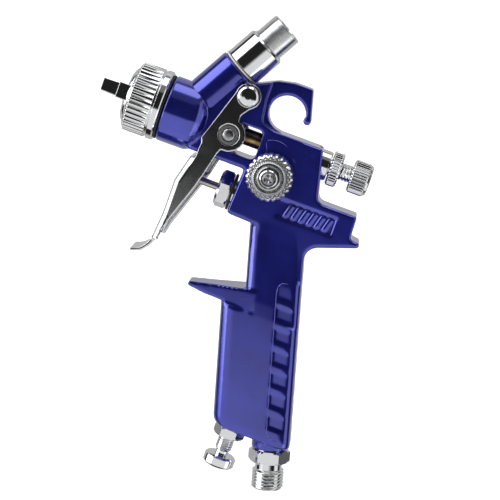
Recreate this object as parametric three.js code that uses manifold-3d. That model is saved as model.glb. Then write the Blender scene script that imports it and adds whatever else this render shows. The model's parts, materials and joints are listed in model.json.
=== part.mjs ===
// Gravity-feed spray gun, without its cup. Millimetres.
// +X runs back along the needle, +Z is up, -Y is the side with the pattern dial.
// The origin is the centre of the round opening of the hanging hook.
import * as THREE from "three";
import { mergeVertices } from "three/addons/utils/BufferGeometryUtils.js";
import Module from "manifold-3d";

const wasm = await Module();
wasm.setup();

// ---- clearances ----
const GAP = 0.3; // between touching or screwed pieces
const RUNNING = 0.1; // between a pin and the hole that turns on it
const SLIDING = 0.25; // between the needle, or a stem, and its guide

// ---- the needle line, front to back ----
const AXIS_Z = -13.9; // height of the needle
const HEAD_R = 13.1;
const HEAD_FRONT = -45.1; // face behind the air cap ring
const HEAD_BACK = -28.6;
const BOSS_INSET = 1.5; // threaded boss that the ring screws on, inside the head
const BOSS_LENGTH = 6.2;
const RING_PROUD = 0.8; // ring outside, over the head
const RING_LENGTH = 13;
const RING_LIP = 1.5; // thickness of the lip that holds the cap
const RING_RIM = 3.3; // smooth rim behind the grip
const RING_GROOVES = 40;
const RING_GROOVE_DEPTH = 0.6;
const GASKET_LENGTH = 0.6;
const CAP_STEP = 0.6; // the cap where it leaves the ring, inside its flange
const CAP_DOME = 2.7; // how far the dome stands out of the ring
const CAP_WALL = 1.1;
const CAP_FLANGE = 2;
const CAP_HOLE_R = 2.3;
const HORN_LENGTH = 6.4;
const HORN_BASE = 2.7;
const HORN_HEIGHT = 5.6;
const HORN_BASE_HEIGHT = 6.3;
const HORN_INSET = 0.4; // outside of a horn, inside the cap's edge
const HORN_THICK = 4.2;
const HORN_PORT_R = 0.7;
const HORN_TURN = 6.5; // degrees that the pair of horns stands turned about the needle
const NOZZLE_TIP_R = 1.7;
const NOZZLE_TIP_BORE_R = 0.95;
const NOZZLE_BORE_R = 2.2;
const NOZZLE_INSET = 3.4; // flange edge inside the baffle's edge
const NOZZLE_FLANGE = 3.2;
const NOZZLE_SHANK_R = 4.2;
const NOZZLE_SHANK = 11.3;
const BAFFLE_INSET = 1.2;

// ---- needle, its packing and its spring ----
const NEEDLE_R = 1.25;
const NEEDLE_TAIL = 8.6; // back end of the needle
const NEEDLE_CONE = 4.2;
const PACKING_R = 3.4;
const PACKING_LENGTH = 2.6;
const PACKING_NUT = 3;
const SLEEVE_R = 3.3; // brass sleeve that the trigger bar pushes
const SLEEVE_LENGTH = 16.2;
const SPRING_WIRE_R = 0.45;
const NEEDLE_SPRING_R = 2.7;
const SPRING_TURNS = 6;
const STOP_LENGTH = 1.8;
const SPRING_BORE_R = 3.75;

// ---- fluid control at the back ----
const HOUSING_R = 5.9;
const HOUSING_FRONT = 16.4;
const HOUSING_LENGTH = 5.7;
const SCREW_R = 3.5;
const SCREW_ROOT = 0.35;
const SCREW_PITCH = 1.25;
const LOCK_R = 6.95;
const LOCK_LENGTH = 4.3;
const KNOB_R = 6.65;
const KNOB_LENGTH = 7.7;
const KNOB_BACK = 38.8;
const KNURL_DEPTH = 0.35;
const KNURLS = 32;

// ---- cup tube and its screwed adapter ----
const CUP_LEAN = 29.6; // degrees back from upright
const CUP_CROSSING_X = -36.6; // where its axis meets the needle
const CUP_TUBE_R = 8.85;
const CUP_TUBE_LENGTH = 27.5; // from the needle to the joint
const CUP_SEAL = 0.7;
const ADAPTER_R = 8.2;
const ADAPTER_LENGTH = 12.7;
const CUP_THREAD_R = 7;
const CUP_THREAD_LENGTH = 9.2;
const CUP_THREAD_PITCH = 1;
const CUP_BORE_R = 4.2;
const SPIGOT_R = 6;
const SPIGOT_LENGTH = 7.5;
const FEED_BORE_R = 3.3;

// ---- body casting ----
const BODY_HALF = 8; // half its thickness
const EDGE = 0.75; // rounded edge of the casting
const HOOK_HALF = 5;
const HOOK_R = 7.2;
const HOOK_TOP = 12.3;
const HOOK_TIP_X = 8.1;
const HOOK_TIP_R = 1.55;
const BLOCK_TOP = -7.6;
const BLOCK_BACK = 17.7;
const BLOCK_FRONT = -8.7;
const BLOCK_BOTTOM = -43.6;
const BRIDGE_BOTTOM = -25.3;
const WINDOW_FRONT = -22.1;
const WINDOW_BACK = -6;
const WINDOW_TOP = -9;
const WINDOW_BOTTOM = -20.9;
const TANG_TOP = -27.7;
const TANG_BACK = 38.9;
const TANG_LIP_X = 43.4;
const TANG_LIP_Z = -38;
const PANEL_LENGTH = 23;
const PANEL_HEIGHT = 7.6;
const PANEL_DEPTH = 0.5;
const PANEL_BARS = 6;

// ---- handle ----
const HANDLE_SLOPE = 0.283; // backward lean, run over drop
const HANDLE_HALF = 9.2;
const HANDLE_TOP_BACK = 23.7; // back edge of the handle at the foot of the block
const NECK_DEPTH = 22.7; // front to back above the finger rest
const GRIP_DEPTH = 32.3; // front to back below it
const HANDLE_BOTTOM = -124.4;
const REST_ROOT_Z = -77.2;
const REST_TIP_X = -14.6;
const REST_TIP_Z = -75.1;
const REST_HALF = 5.4; // half its thickness at the tip, growing to the handle's at its root
const PAD_FOOT = 3.5; // plain handle left under the lowest pad
const PAD_PITCH = 8.3;
const PAD_HEIGHT = 5.6;
const PAD_WIDTH = 8;
const PAD_DEPTH = 0.45;
const PAD_TOP = -62.4;

// ---- air inlet ----
const INLET_BOSS_R = 7.4;
const INLET_FOOT_DROP = 2.9; // end face of the boss, under the handle's foot
const INLET_INSET = 8.4; // centre of the boss, from the line of the handle's back
const INLET_FLATS = 14.4;
const INLET_HEX = 5;
const INLET_NECK_R = 5.3;
const INLET_NECK = 3;
const INLET_THREAD_R = 6.58; // quarter-inch pipe thread
const INLET_THREAD_LENGTH = 8;
const INLET_PITCH = 1.337;
const INLET_BORE_R = 4.3;
const INLET_SPIGOT_R = 5.6;
const INLET_SPIGOT = 9;

// ---- trigger ----
const PIVOT_X = -16.1;
const PIVOT_Z = 1.8;
const EAR_R = 5;
const STUD_R = 2.6;
const STUD_HEAD_R = 4.2;
const STUD_HEAD = 2.4;
const WASHER_T = 0.4;
const BAR_X = -18.3;
const BAR_Z = -14.6;
const BAR_R = 3.2;
const BAR_END_R = 2.35;
const BAR_BOSS_R = 6.5;
const BAR_DISH_R = 4.1;
const CHEEK_GAP = 1; // washer space between the body and a cheek
const TUBE_CLEAR = 0.15; // least room between the cup tube and a cheek
const CHEEK_T = 1.8;
const FAR_CHEEK_EXTRA = 1.6;
const TRIGGER_FOOT = -67.5;
const TRIGGER_BEND_Z = -38;
const TRIGGER_FRONT_X = -32.3;
const WEB_TOP = -27.5;
const WEB_T = 1.4;
const LIP_TIP_X = -40;

// ---- air valve ----
const VALVE_Z = -36.1;
const VALVE_STEM_R = 1.5;
const VALVE_STEM_FRONT = -29.6;
const VALVE_NUT_FLATS = 13.4;
const VALVE_NUT_FRONT = -15.9;
const VALVE_NUT = 5.1;
const VALVE_WASHER_R = 7.3;
const VALVE_BORE_R = 5.2;
const VALVE_CHAMBER_END = 19;
const POPPET_R = 4.1;
const POPPET = 3;
const POPPET_X = 2;

// ---- pattern dial ----
const DIAL_X = 2;
const DIAL_Z = -24.5;
const DIAL_R = 9.05;
const DIAL_STANDOFF = 1.9; // its back face from the body
const DIAL_RIM = 4;
const DIAL_LOBES = 24;
const DIAL_CROWN_R = 6.7;
const DIAL_CROWN = 1.8;
const DIAL_HUB_R = 3.5;
const DIAL_HUB = 2.6;
const DIAL_SCREW_R = 2.3;
const DIAL_SCREW = 1.4;
const DIAL_STEM_R = 2.2;
const DIAL_HOUSING_R = 4.6;

// ---- air regulator under the handle ----
const REG_INSET = 7.4; // its line, from the handle's front edge at the foot
const REG_NUT_R = 6.3;
const REG_NUT = 3.9;
const REG_SCREW_R = 3.4;
const REG_THREAD = 9.6; // screw thread shown under the handle
const REG_NECK_R = 2.6;
const REG_DISC_R = 6.3;
const REG_DISC_DROP = 12.1;
const REG_DISC = 4.6;
const REG_BORE = 17.4;
const REG_PLUG = 6;
const REG_PLUG_TOP = 13.9; // top of the plug, over the foot
const REG_PITCH = 1;

// ---- finishes ----
const FINISH = {
  blue: [0x22257a, 0.22, 0.6],
  chrome: [0xd8dadd, 0.12, 1],
  steel: [0xb9bbbd, 0.3, 1],
  brass: [0xa8843c, 0.3, 1],
  black: [0x16161a, 0.7, 0],
  nylon: [0xe6e4da, 0.5, 0],
};

const X_AXIS = new THREE.Vector3(1, 0, 0);
const UP = new THREE.Vector3(0, 0, 1);
const DOWN = new THREE.Vector3(0, 0, -1);
const NEAR = new THREE.Vector3(0, -1, 0);

// ---- joining and cutting ----

// A closed geometry as a solid, with its faces turned out.
function solid(geometry) {
  const bare = geometry.index ? geometry.toNonIndexed() : geometry.clone();
  for (const key of Object.keys(bare.attributes)) {
    if (key !== "position") bare.deleteAttribute(key);
  }
  const merged = mergeVertices(bare, 1e-4);
  const points = merged.attributes.position.array;
  const tris = new Uint32Array(merged.index.array);
  if (signedVolume(points, tris) < 0) turnOver(tris);
  return new wasm.Manifold(
    new wasm.Mesh({ numProp: 3, vertProperties: points, triVerts: tris }),
  );
}

function signedVolume(p, tris) {
  let sum = 0;
  for (let i = 0; i < tris.length; i += 3) {
    const [a, b, c] = [tris[i] * 3, tris[i + 1] * 3, tris[i + 2] * 3];
    sum += p[a] * (p[b + 1] * p[c + 2] - p[b + 2] * p[c + 1]);
    sum += p[a + 1] * (p[b + 2] * p[c] - p[b] * p[c + 2]);
    sum += p[a + 2] * (p[b] * p[c + 1] - p[b + 1] * p[c]);
  }
  return sum;
}

function turnOver(tris) {
  for (let i = 0; i < tris.length; i += 3) {
    [tris[i + 1], tris[i + 2]] = [tris[i + 2], tris[i + 1]];
  }
}

function join(first, ...rest) {
  return rest.reduce((sum, s) => sum.add(s), first);
}

function cut(first, ...rest) {
  return rest.reduce((sum, s) => sum.subtract(s), first);
}

// A named mesh whose own origin is the point at, such as its pivot.
function pieceOf(name, made, finish, at = new THREE.Vector3()) {
  const mesh = made.getMesh();
  const geometry = new THREE.BufferGeometry();
  geometry.setAttribute("position", new THREE.BufferAttribute(mesh.vertProperties, 3));
  geometry.setIndex(new THREE.BufferAttribute(mesh.triVerts, 1));
  geometry.translate(-at.x, -at.y, -at.z);
  geometry.computeVertexNormals();
  const [color, roughness, metalness] = FINISH[finish];
  const material = new THREE.MeshStandardMaterial({ color, roughness, metalness });
  const piece = new THREE.Mesh(geometry, material);
  piece.name = name;
  piece.position.copy(at);
  return piece;
}

// ---- basic shapes ----

// A turned shape: [radius, distance along the axis] pairs, from a start point in a direction.
function turned(profile, sides, start, direction) {
  const points = profile.map(([r, t]) => new THREE.Vector2(r, t));
  const closed = profile[0][0] > 0 || profile[profile.length - 1][0] > 0;
  if (closed) points.push(points[0].clone());
  const lathe = new THREE.LatheGeometry(points, sides);
  const turn = new THREE.Quaternion();
  turn.setFromUnitVectors(new THREE.Vector3(0, 1, 0), direction);
  lathe.applyQuaternion(turn).translate(start.x, start.y, start.z);
  return solid(lathe);
}

function rod(radius, from, to, sides, start, direction) {
  const profile = [[0, from], [radius, from], [radius, to], [0, to]];
  return turned(profile, sides, start, direction);
}

function tube(inner, outer, from, to, sides, start, direction) {
  const profile = [[inner, from], [outer, from], [outer, to], [inner, to]];
  return turned(profile, sides, start, direction);
}

const onNeedle = (x) => new THREE.Vector3(x, 0, AXIS_Z);

const needleRod = (r, x0, x1, sides = 32) => rod(r, x0, x1, sides, onNeedle(0), X_AXIS);

const needleTube = (ri, ro, x0, x1, sides = 32) =>
  tube(ri, ro, x0, x1, sides, onNeedle(0), X_AXIS);

// A flat outline in X and Z, extruded in Y from -half to half, its edges rounded by edge.
function plate(shape, low, high, edge = 0) {
  const depth = high - low - 2 * edge;
  const geometry = new THREE.ExtrudeGeometry(shape, {
    depth,
    curveSegments: 10,
    bevelEnabled: edge > 0,
    bevelThickness: edge,
    bevelSize: edge,
    bevelOffset: -edge,
    bevelSegments: 1,
  });
  geometry.rotateX(Math.PI / 2).translate(0, high - edge, 0);
  return solid(geometry);
}

// An outline through corners, each rounded by its own radius: [x, z, radius].
function outline(corners, steps = 3) {
  const points = [];
  corners.forEach(([x, z, r = 0], i) => {
    const here = new THREE.Vector2(x, z);
    const before = toward(here, corners[(i + corners.length - 1) % corners.length]);
    const after = toward(here, corners[(i + 1) % corners.length]);
    if (r) points.push(...cornerArc(here, before, after, r, steps));
    else points.push(here);
  });
  return new THREE.Shape(points);
}

function toward(here, [x, z]) {
  return new THREE.Vector2(x, z).sub(here).normalize();
}

function cornerArc(corner, before, after, r, steps) {
  const half = Math.acos(THREE.MathUtils.clamp(before.dot(after), -1, 1)) / 2;
  const inward = before.clone().add(after).normalize();
  const centre = corner.clone().addScaledVector(inward, r / Math.sin(half));
  const first = corner.clone().addScaledVector(before, r / Math.tan(half)).sub(centre);
  const last = corner.clone().addScaledVector(after, r / Math.tan(half)).sub(centre);
  const sweep = Math.atan2(first.cross(last), first.dot(last));
  return Array.from({ length: steps + 1 }, (_, i) =>
    first.clone().rotateAround(new THREE.Vector2(), (sweep * i) / steps).add(centre),
  );
}

function circle(x, z, r, sides = 32) {
  const step = (2 * Math.PI) / sides;
  const points = Array.from({ length: sides }, (_, i) =>
    new THREE.Vector2(x + r * Math.cos(i * step), z + r * Math.sin(i * step)),
  );
  return new THREE.Shape(points);
}

function box(x0, x1, y0, y1, z0, z1) {
  const geometry = new THREE.BoxGeometry(x1 - x0, y1 - y0, z1 - z0);
  geometry.translate((x0 + x1) / 2, (y0 + y1) / 2, (z0 + z1) / 2);
  return solid(geometry);
}

// A solid through a list of level sections that all have the same number of points.
function loft(sections) {
  const count = sections[0].length;
  const tris = [];
  const last = (sections.length - 1) * count;
  for (let s = 0; s < last; s += count) {
    for (let i = 0; i < count; i++) {
      const j = (i + 1) % count;
      tris.push(s + i, s + j, s + count + j, s + i, s + count + j, s + count + i);
    }
  }
  const flat = sections[0].map((p) => new THREE.Vector2(p.x, p.y));
  const backwards = THREE.ShapeUtils.isClockWise(flat);
  for (const face of THREE.ShapeUtils.triangulateShape(flat, [])) {
    const [a, b, c] = backwards ? face : face.reverse();
    tris.push(a, b, c, last + c, last + b, last + a);
  }
  const geometry = new THREE.BufferGeometry().setFromPoints(sections.flat());
  geometry.setIndex(tris);
  return solid(geometry);
}

// A level section with a rounded front and back: front and back edge, half width, radii.
function levelSection(z, front, back, half, frontR, backR, steps = 3) {
  const shape = outline(
    [[front, -half, frontR], [back, -half, backR], [back, half, backR], [front, half, frontR]],
    steps,
  );
  return shape.getPoints(1).slice(0, 4 * (steps + 1)).map((p) => new THREE.Vector3(p.x, p.y, z));
}

// A round bar's outline with evenly spaced grooves; share of each pitch is left as a flat rib.
function grooved(radius, depth, count, share = 0) {
  const step = (2 * Math.PI) / count;
  const points = [];
  for (let i = 0; i < count; i++) {
    const stops = [[0, radius], [share, radius], [(1 + share) / 2, radius - depth]];
    for (const [turn, r] of stops.slice(share ? 0 : 1)) {
      const a = (i + turn) * step;
      points.push(new THREE.Vector2(r * Math.cos(a), r * Math.sin(a)));
    }
  }
  return new THREE.Shape(points);
}

// A grooved ring along a direction: outline from grooved(), a hole, start and length.
function groovedRing(shape, holeR, start, length, direction, sides = 24) {
  if (holeR) shape.holes.push(circle(0, 0, holeR, sides));
  const geometry = new THREE.ExtrudeGeometry(shape, { depth: length, bevelEnabled: false });
  const turn = new THREE.Quaternion();
  turn.setFromUnitVectors(new THREE.Vector3(0, 0, 1), direction);
  geometry.applyQuaternion(turn).translate(start.x, start.y, start.z);
  return solid(geometry);
}

function hexBar(flats, holeR, start, length, direction, twist = 0) {
  const r = flats / Math.sqrt(3);
  const shape = circle(0, 0, r, 6);
  const turnedShape = new THREE.Shape(
    shape.getPoints(1).slice(0, 6).map((p) => p.rotateAround(new THREE.Vector2(), twist)),
  );
  return groovedRing(turnedShape, holeR, start, length, direction);
}

// Thread crests and roots for a turned profile, from t0 to t1.
function threadProfile(radius, root, pitch, t0, t1) {
  const turns = Math.floor((t1 - t0) / pitch);
  const points = [];
  for (let i = 0; i < turns; i++) {
    const t = t0 + i * pitch;
    points.push([radius - root, t], [radius, t + pitch / 2]);
  }
  points.push([radius - root, t0 + turns * pitch]);
  return points;
}

function helixSpring(radius, wire, x0, x1, turns, z) {
  class Coil extends THREE.Curve {
    getPoint(t, target = new THREE.Vector3()) {
      const a = 2 * Math.PI * turns * t;
      const x = x0 + wire + (x1 - x0 - 2 * wire) * t;
      return target.set(x, radius * Math.cos(a), z + radius * Math.sin(a));
    }
  }
  const section = circle(0, 0, wire, 5);
  const geometry = new THREE.ExtrudeGeometry(section, {
    steps: turns * 9,
    extrudePath: new Coil(),
    bevelEnabled: false,
  });
  return solid(geometry);
}

// ---- places that several pieces share ----

const CUP_AXIS = new THREE.Vector3(
  Math.sin(THREE.MathUtils.degToRad(CUP_LEAN)),
  0,
  Math.cos(THREE.MathUtils.degToRad(CUP_LEAN)),
);
const CUP_START = new THREE.Vector3(CUP_CROSSING_X, 0, AXIS_Z);
const INLET_AXIS = new THREE.Vector3(HANDLE_SLOPE, 0, -1).normalize();
const BOSS_R = HEAD_R - BOSS_INSET;
const RING_R = HEAD_R + RING_PROUD;
const CAP_FACE_R = BOSS_R - CAP_STEP;
const HORN_OUT = CAP_FACE_R - HORN_INSET;
const HORN_IN = HORN_OUT - HORN_THICK;
const BAFFLE_R = BOSS_R - BAFFLE_INSET;
const NOZZLE_FLANGE_R = BAFFLE_R - NOZZLE_INSET;
const HEAD_BOSS_FRONT = HEAD_FRONT - BOSS_LENGTH;
const RING_BACK = HEAD_FRONT - GASKET_LENGTH - 2 * GAP;
const RING_FRONT = RING_BACK - RING_LENGTH;
const RING_INNER_R = BOSS_R + GAP;
const LIP_INNER_R = CAP_FACE_R + GAP;
const NOZZLE_BACK = HEAD_BOSS_FRONT + NOZZLE_SHANK;
const CAP_BACK = RING_FRONT + RING_LIP + GAP + CAP_FLANGE;
const CAP_FRONT = RING_FRONT - CAP_DOME;
const SLEEVE_FRONT = BAR_X + BAR_R + GAP;
const SLEEVE_BACK = SLEEVE_FRONT + SLEEVE_LENGTH;
const PACKING_FRONT = WINDOW_FRONT - 0.5 - PACKING_NUT - GAP - PACKING_LENGTH;
const HOUSING_BACK = HOUSING_FRONT + HOUSING_LENGTH;
const LOCK_FRONT = HOUSING_BACK + GAP;
const KNOB_FRONT = KNOB_BACK - KNOB_LENGTH;
const STOP_FRONT = HOUSING_FRONT - 0.8;
const STOP_R = Math.max(SPRING_BORE_R, SLEEVE_R + SLIDING) - SLIDING;
const CHEEK_IN = Math.max(BODY_HALF + CHEEK_GAP, CUP_TUBE_R + TUBE_CLEAR);
const CHEEK_OUT = CHEEK_IN + CHEEK_T;
const DIAL_BACK = BODY_HALF + DIAL_STANDOFF;
const NUT_BACK = VALVE_NUT_FRONT + VALVE_NUT;
const WASHER_BACK = BLOCK_FRONT - 0.9;
const DIAL_AT = new THREE.Vector3(DIAL_X, 0, DIAL_Z);
const handleBack = (z) => HANDLE_TOP_BACK + HANDLE_SLOPE * (BLOCK_BOTTOM - 1.6 - z);
const INLET_FOOT_Z = HANDLE_BOTTOM - INLET_FOOT_DROP;
const INLET_FOOT = new THREE.Vector3(handleBack(INLET_FOOT_Z) - INLET_INSET, 0, INLET_FOOT_Z);
const REG_X = handleBack(HANDLE_BOTTOM) - GRIP_DEPTH + REG_INSET;
const REG_TOP = new THREE.Vector3(REG_X, 0, HANDLE_BOTTOM);

// ---- gun body ----

// Hook, ear, bridge, block and tang as one thick plate.
function spine() {
  const beakX = HOOK_TIP_X + HOOK_TIP_R;
  const shape = outline([
    [HEAD_BACK - 3, BRIDGE_BOTTOM],
    [BLOCK_FRONT + 0.3, BRIDGE_BOTTOM, 0.8],
    [BLOCK_FRONT - 0.6, BLOCK_BOTTOM, 1.5],
    [BLOCK_FRONT + 12, BLOCK_BOTTOM - 0.6, 1],
    [handleBack(-60) - 12, -60],
    [handleBack(-60), -60],
    [handleBack(-46), -46, 5.6],
    [TANG_LIP_X + 0.4, TANG_LIP_Z - 0.9, 0.9],
    [TANG_LIP_X - 0.3, TANG_LIP_Z + 0.9, 0.9],
    [TANG_BACK + 0.4, TANG_LIP_Z + 1.2, 1.2],
    [TANG_BACK, TANG_TOP, 0.9],
    [BLOCK_BACK + 4.9, TANG_TOP, 3.2],
    [BLOCK_BACK, BLOCK_TOP, 1.6],
    [beakX, BLOCK_TOP, 0.5],
    [beakX, 0, 1],
    [beakX - 3.4, HOOK_TOP, 0.9],
    [-1, HOOK_TOP, 8],
    [-7.5, HOOK_TOP - 1.4, 6],
    [-15, 7.2, 3],
    [HEAD_BACK - 1, 6],
    [HEAD_BACK - 3, -2],
  ], 6);
  return plate(shape, -BODY_HALF, BODY_HALF, EDGE);
}

// The round opening of the hook and its mouth.
function hookOpening() {
  const beakX = HOOK_TIP_X + HOOK_TIP_R;
  const mouth = outline([
    [0, BLOCK_TOP],
    [beakX + 2, BLOCK_TOP],
    [beakX + 2, 0],
    [0, 0],
  ]);
  const reach = BODY_HALF + 1;
  return join(plate(circle(0, 0, HOOK_R, 44), -reach, reach), plate(mouth, -reach, reach));
}

// The hook is thinner than the block, above the block's top and behind the ear.
function hookThinning() {
  const shape = outline([
    [-9.5, 14],
    [-9.5, 3],
    [-8.2, BLOCK_TOP + 1.6, 2],
    [-3, BLOCK_TOP, 2],
    [14, BLOCK_TOP],
    [14, 14],
  ]);
  const far = plate(shape, HOOK_HALF, BODY_HALF + 1);
  const near = plate(shape, -BODY_HALF - 1, -HOOK_HALF);
  return join(far, near);
}

function hookTip() {
  return plate(circle(HOOK_TIP_X, 0.05, HOOK_TIP_R, 20), -HOOK_HALF, HOOK_HALF, 0.5);
}

function head() {
  const profile = [
    [0, HEAD_BOSS_FRONT],
    [BOSS_R - 0.5, HEAD_BOSS_FRONT],
    [BOSS_R, HEAD_BOSS_FRONT + 0.5],
    [BOSS_R, HEAD_FRONT],
    [HEAD_R - 0.5, HEAD_FRONT],
    [HEAD_R, HEAD_FRONT + 0.5],
    [HEAD_R, HEAD_BACK - 5],
    [HEAD_R - 0.6, HEAD_BACK - 3.4],
    [HEAD_R - 2, HEAD_BACK - 1.6],
    [HEAD_R - 4, HEAD_BACK],
    [0, HEAD_BACK],
  ];
  return turned(profile, 36, onNeedle(0), X_AXIS);
}

function cupTube() {
  const profile = [
    [0, 3],
    [CUP_TUBE_R, 3],
    [CUP_TUBE_R, CUP_TUBE_LENGTH - 0.4],
    [CUP_TUBE_R - 0.4, CUP_TUBE_LENGTH],
    [0, CUP_TUBE_LENGTH],
  ];
  return turned(profile, 28, CUP_START, CUP_AXIS);
}

// The handle above and below the finger rest, rounded more at the front than at the back.
function handle() {
  const top = BLOCK_BOTTOM + 2;
  const neck = (z) => {
    const widened = THREE.MathUtils.smoothstep(-z, -top, -REST_ROOT_Z);
    const half = THREE.MathUtils.lerp(BODY_HALF, HANDLE_HALF, widened);
    return levelSection(z, handleBack(z) - NECK_DEPTH, handleBack(z), half, 4.2, 4, 6);
  };
  const grip = (z) => {
    const front = handleBack(z) - GRIP_DEPTH;
    return levelSection(z, front, handleBack(z), HANDLE_HALF, 5, 5, 6);
  };
  const foot = (z, inset) => {
    const front = handleBack(z) - GRIP_DEPTH + inset;
    const back = handleBack(z) - inset * 0.2;
    return levelSection(z, front, back, HANDLE_HALF - inset * 0.3, 5, 5, 6);
  };
  const shares = [0, 0.15, 0.3, 0.5, 0.7, 0.85, 1];
  const upper = loft(shares.map((share) => neck(THREE.MathUtils.lerp(REST_ROOT_Z, top, share))));
  const base = HANDLE_BOTTOM;
  const lower = loft([
    foot(base, 3.2),
    foot(base + 0.7, 1.1),
    foot(base + 2.2, 0.2),
    grip(base + 3.5),
    grip(REST_ROOT_Z),
  ]);
  return join(upper, lower);
}

// The slim finger rest that stands out under the trigger, flared where it leaves the handle.
function fingerRest() {
  const root = handleBack(REST_ROOT_Z) - NECK_DEPTH + 3;
  const shape = outline([
    [root, REST_ROOT_Z - 0.4],
    [root, REST_ROOT_Z + 9.4],
    [root - 5, REST_ROOT_Z + 8.4, 1],
    [REST_TIP_X + 0.4, REST_TIP_Z + 0.8, 0.7],
    [REST_TIP_X + 0.6, REST_TIP_Z - 0.8, 0.7],
    [-6.5, REST_ROOT_Z + 0.5, 4],
    [1.5, REST_ROOT_Z + 0.5, 1],
    [3, REST_ROOT_Z - 1.5],
  ]);
  const flare = [
    [REST_TIP_X - 1, REST_HALF],
    [root - 16, REST_HALF + (HANDLE_HALF - REST_HALF) * 0.3],
    [root - 9, REST_HALF + (HANDLE_HALF - REST_HALF) * 0.75],
    [root - 3, HANDLE_HALF],
    [root + 1, HANDLE_HALF],
  ];
  const edges = [...flare, ...flare.map(([x, y]) => [x, -y]).reverse()];
  const plan = (z) => edges.map(([x, y]) => new THREE.Vector3(x, y, z));
  const taper = loft([plan(REST_ROOT_Z - 3), plan(REST_ROOT_Z + 12)]);
  return plate(shape, -HANDLE_HALF, HANDLE_HALF, 0.5).intersect(taper);
}

function inletBoss() {
  const length = 22;
  const profile = [
    [0, -length],
    [INLET_BOSS_R, -length],
    [INLET_BOSS_R, -0.6],
    [INLET_BOSS_R - 0.6, 0],
    [0, 0],
  ];
  return turned(profile, 24, INLET_FOOT, INLET_AXIS);
}

// Grip pads sunk in both sides of the handle and notched into its back.
function gripPads() {
  const pads = [];
  const count = Math.floor((PAD_TOP - HANDLE_BOTTOM - PAD_FOOT) / PAD_PITCH);
  for (let i = 0; i < count; i++) {
    const top = PAD_TOP - i * PAD_PITCH;
    const middle = top - PAD_HEIGHT / 2;
    const back = handleBack(middle) - 0.9;
    const shape = outline([
      [back - PAD_WIDTH, top - PAD_HEIGHT],
      [back + 0.4, top - PAD_HEIGHT],
      [back - 1, top],
      [back - PAD_WIDTH - 1.4, top],
    ]);
    const deep = HANDLE_HALF - PAD_DEPTH;
    pads.push(plate(shape, -HANDLE_HALF - 1, -deep), plate(shape, deep, HANDLE_HALF + 1));
    const slotBack = handleBack(top - 2.6);
    pads.push(box(slotBack - 0.7, slotBack + 2, -5, 5, top - 2.6, top + 0.4));
  }
  return join(pads[0], ...pads.slice(1));
}

// The sunk panel on the near side of the tang, with plain slanted bars left standing in it.
function sidePanel() {
  const left = DIAL_X + 7;
  const top = TANG_TOP - 3;
  const shape = outline([
    [left, top],
    [left, top - PANEL_HEIGHT],
    [left + PANEL_LENGTH, top - PANEL_HEIGHT],
    [left + PANEL_LENGTH, top],
  ]);
  const field = plate(shape, -BODY_HALF - 1, -BODY_HALF + PANEL_DEPTH);
  const bars = [];
  const pitch = (PANEL_LENGTH - 4) / PANEL_BARS;
  for (let i = 0; i < PANEL_BARS; i++) {
    const x = left + 3 + i * pitch;
    const bar = outline([
      [x, top - PANEL_HEIGHT + 1.2],
      [x + 1.2, top - PANEL_HEIGHT + 1.2],
      [x + 2.6, top - 1.2],
      [x + 1.4, top - 1.2],
    ]);
    bars.push(plate(bar, -BODY_HALF - 2, -BODY_HALF + PANEL_DEPTH + 1));
  }
  return cut(field, ...bars);
}

// Window through the body where the trigger bar pushes the needle's sleeve.
function windowOpening() {
  const shape = outline([
    [WINDOW_FRONT, WINDOW_TOP, 2],
    [WINDOW_FRONT, WINDOW_BOTTOM, 2],
    [WINDOW_BACK, WINDOW_BOTTOM, 2],
    [WINDOW_BACK, WINDOW_TOP, 2],
  ]);
  return plate(shape, -BODY_HALF - 1, BODY_HALF + 1);
}

function needleBores() {
  return join(
    needleRod(NOZZLE_SHANK_R + GAP, HEAD_BOSS_FRONT - 1, NOZZLE_BACK + 0.5, 20),
    needleRod(FEED_BORE_R, NOZZLE_BACK, CUP_CROSSING_X + 4, 16),
    needleRod(NEEDLE_R + GAP, CUP_CROSSING_X, PACKING_FRONT, 14),
    needleRod(PACKING_R + GAP, PACKING_FRONT - GAP, WINDOW_FRONT + 3, 20),
    needleRod(SLEEVE_R + SLIDING, WINDOW_BACK - 3, HOUSING_FRONT, 20),
    needleRod(SPRING_BORE_R, SLEEVE_BACK, HOUSING_FRONT, 20),
    needleRod(HOUSING_R + GAP, HOUSING_FRONT - GAP, BLOCK_BACK + 8, 28),
  );
}

function cupBores() {
  const spigotEnd = CUP_TUBE_LENGTH - SPIGOT_LENGTH - GAP;
  return join(
    rod(CUP_TUBE_R + GAP, CUP_TUBE_LENGTH, CUP_TUBE_LENGTH + 8, 28, CUP_START, CUP_AXIS),
    rod(SPIGOT_R + GAP, spigotEnd, CUP_TUBE_LENGTH + 1, 24, CUP_START, CUP_AXIS),
    rod(FEED_BORE_R, 0, spigotEnd + 1, 16, CUP_START, CUP_AXIS),
  );
}

function airBores() {
  const valve = new THREE.Vector3(0, 0, VALVE_Z);
  const spigotTop = INLET_SPIGOT + GAP;
  return join(
    rod(VALVE_BORE_R, BLOCK_FRONT - 2, VALVE_CHAMBER_END, 24, valve, X_AXIS),
    rod(INLET_SPIGOT_R + GAP, -spigotTop, 1, 24, INLET_FOOT, INLET_AXIS),
    rod(INLET_BORE_R - 1, -spigotTop - 12, -spigotTop + 1, 16, INLET_FOOT, INLET_AXIS),
    rod(REG_SCREW_R + GAP, -1, REG_BORE, 20, REG_TOP, UP),
    rod(DIAL_HOUSING_R + GAP, -1, BODY_HALF + 1, 24, DIAL_AT, NEAR),
    rod(STUD_R + GAP, -BODY_HALF - 1, BODY_HALF + 1, 20, pivotAt(), NEAR),
  );
}

const pivotAt = () => new THREE.Vector3(PIVOT_X, 0, PIVOT_Z);

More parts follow.
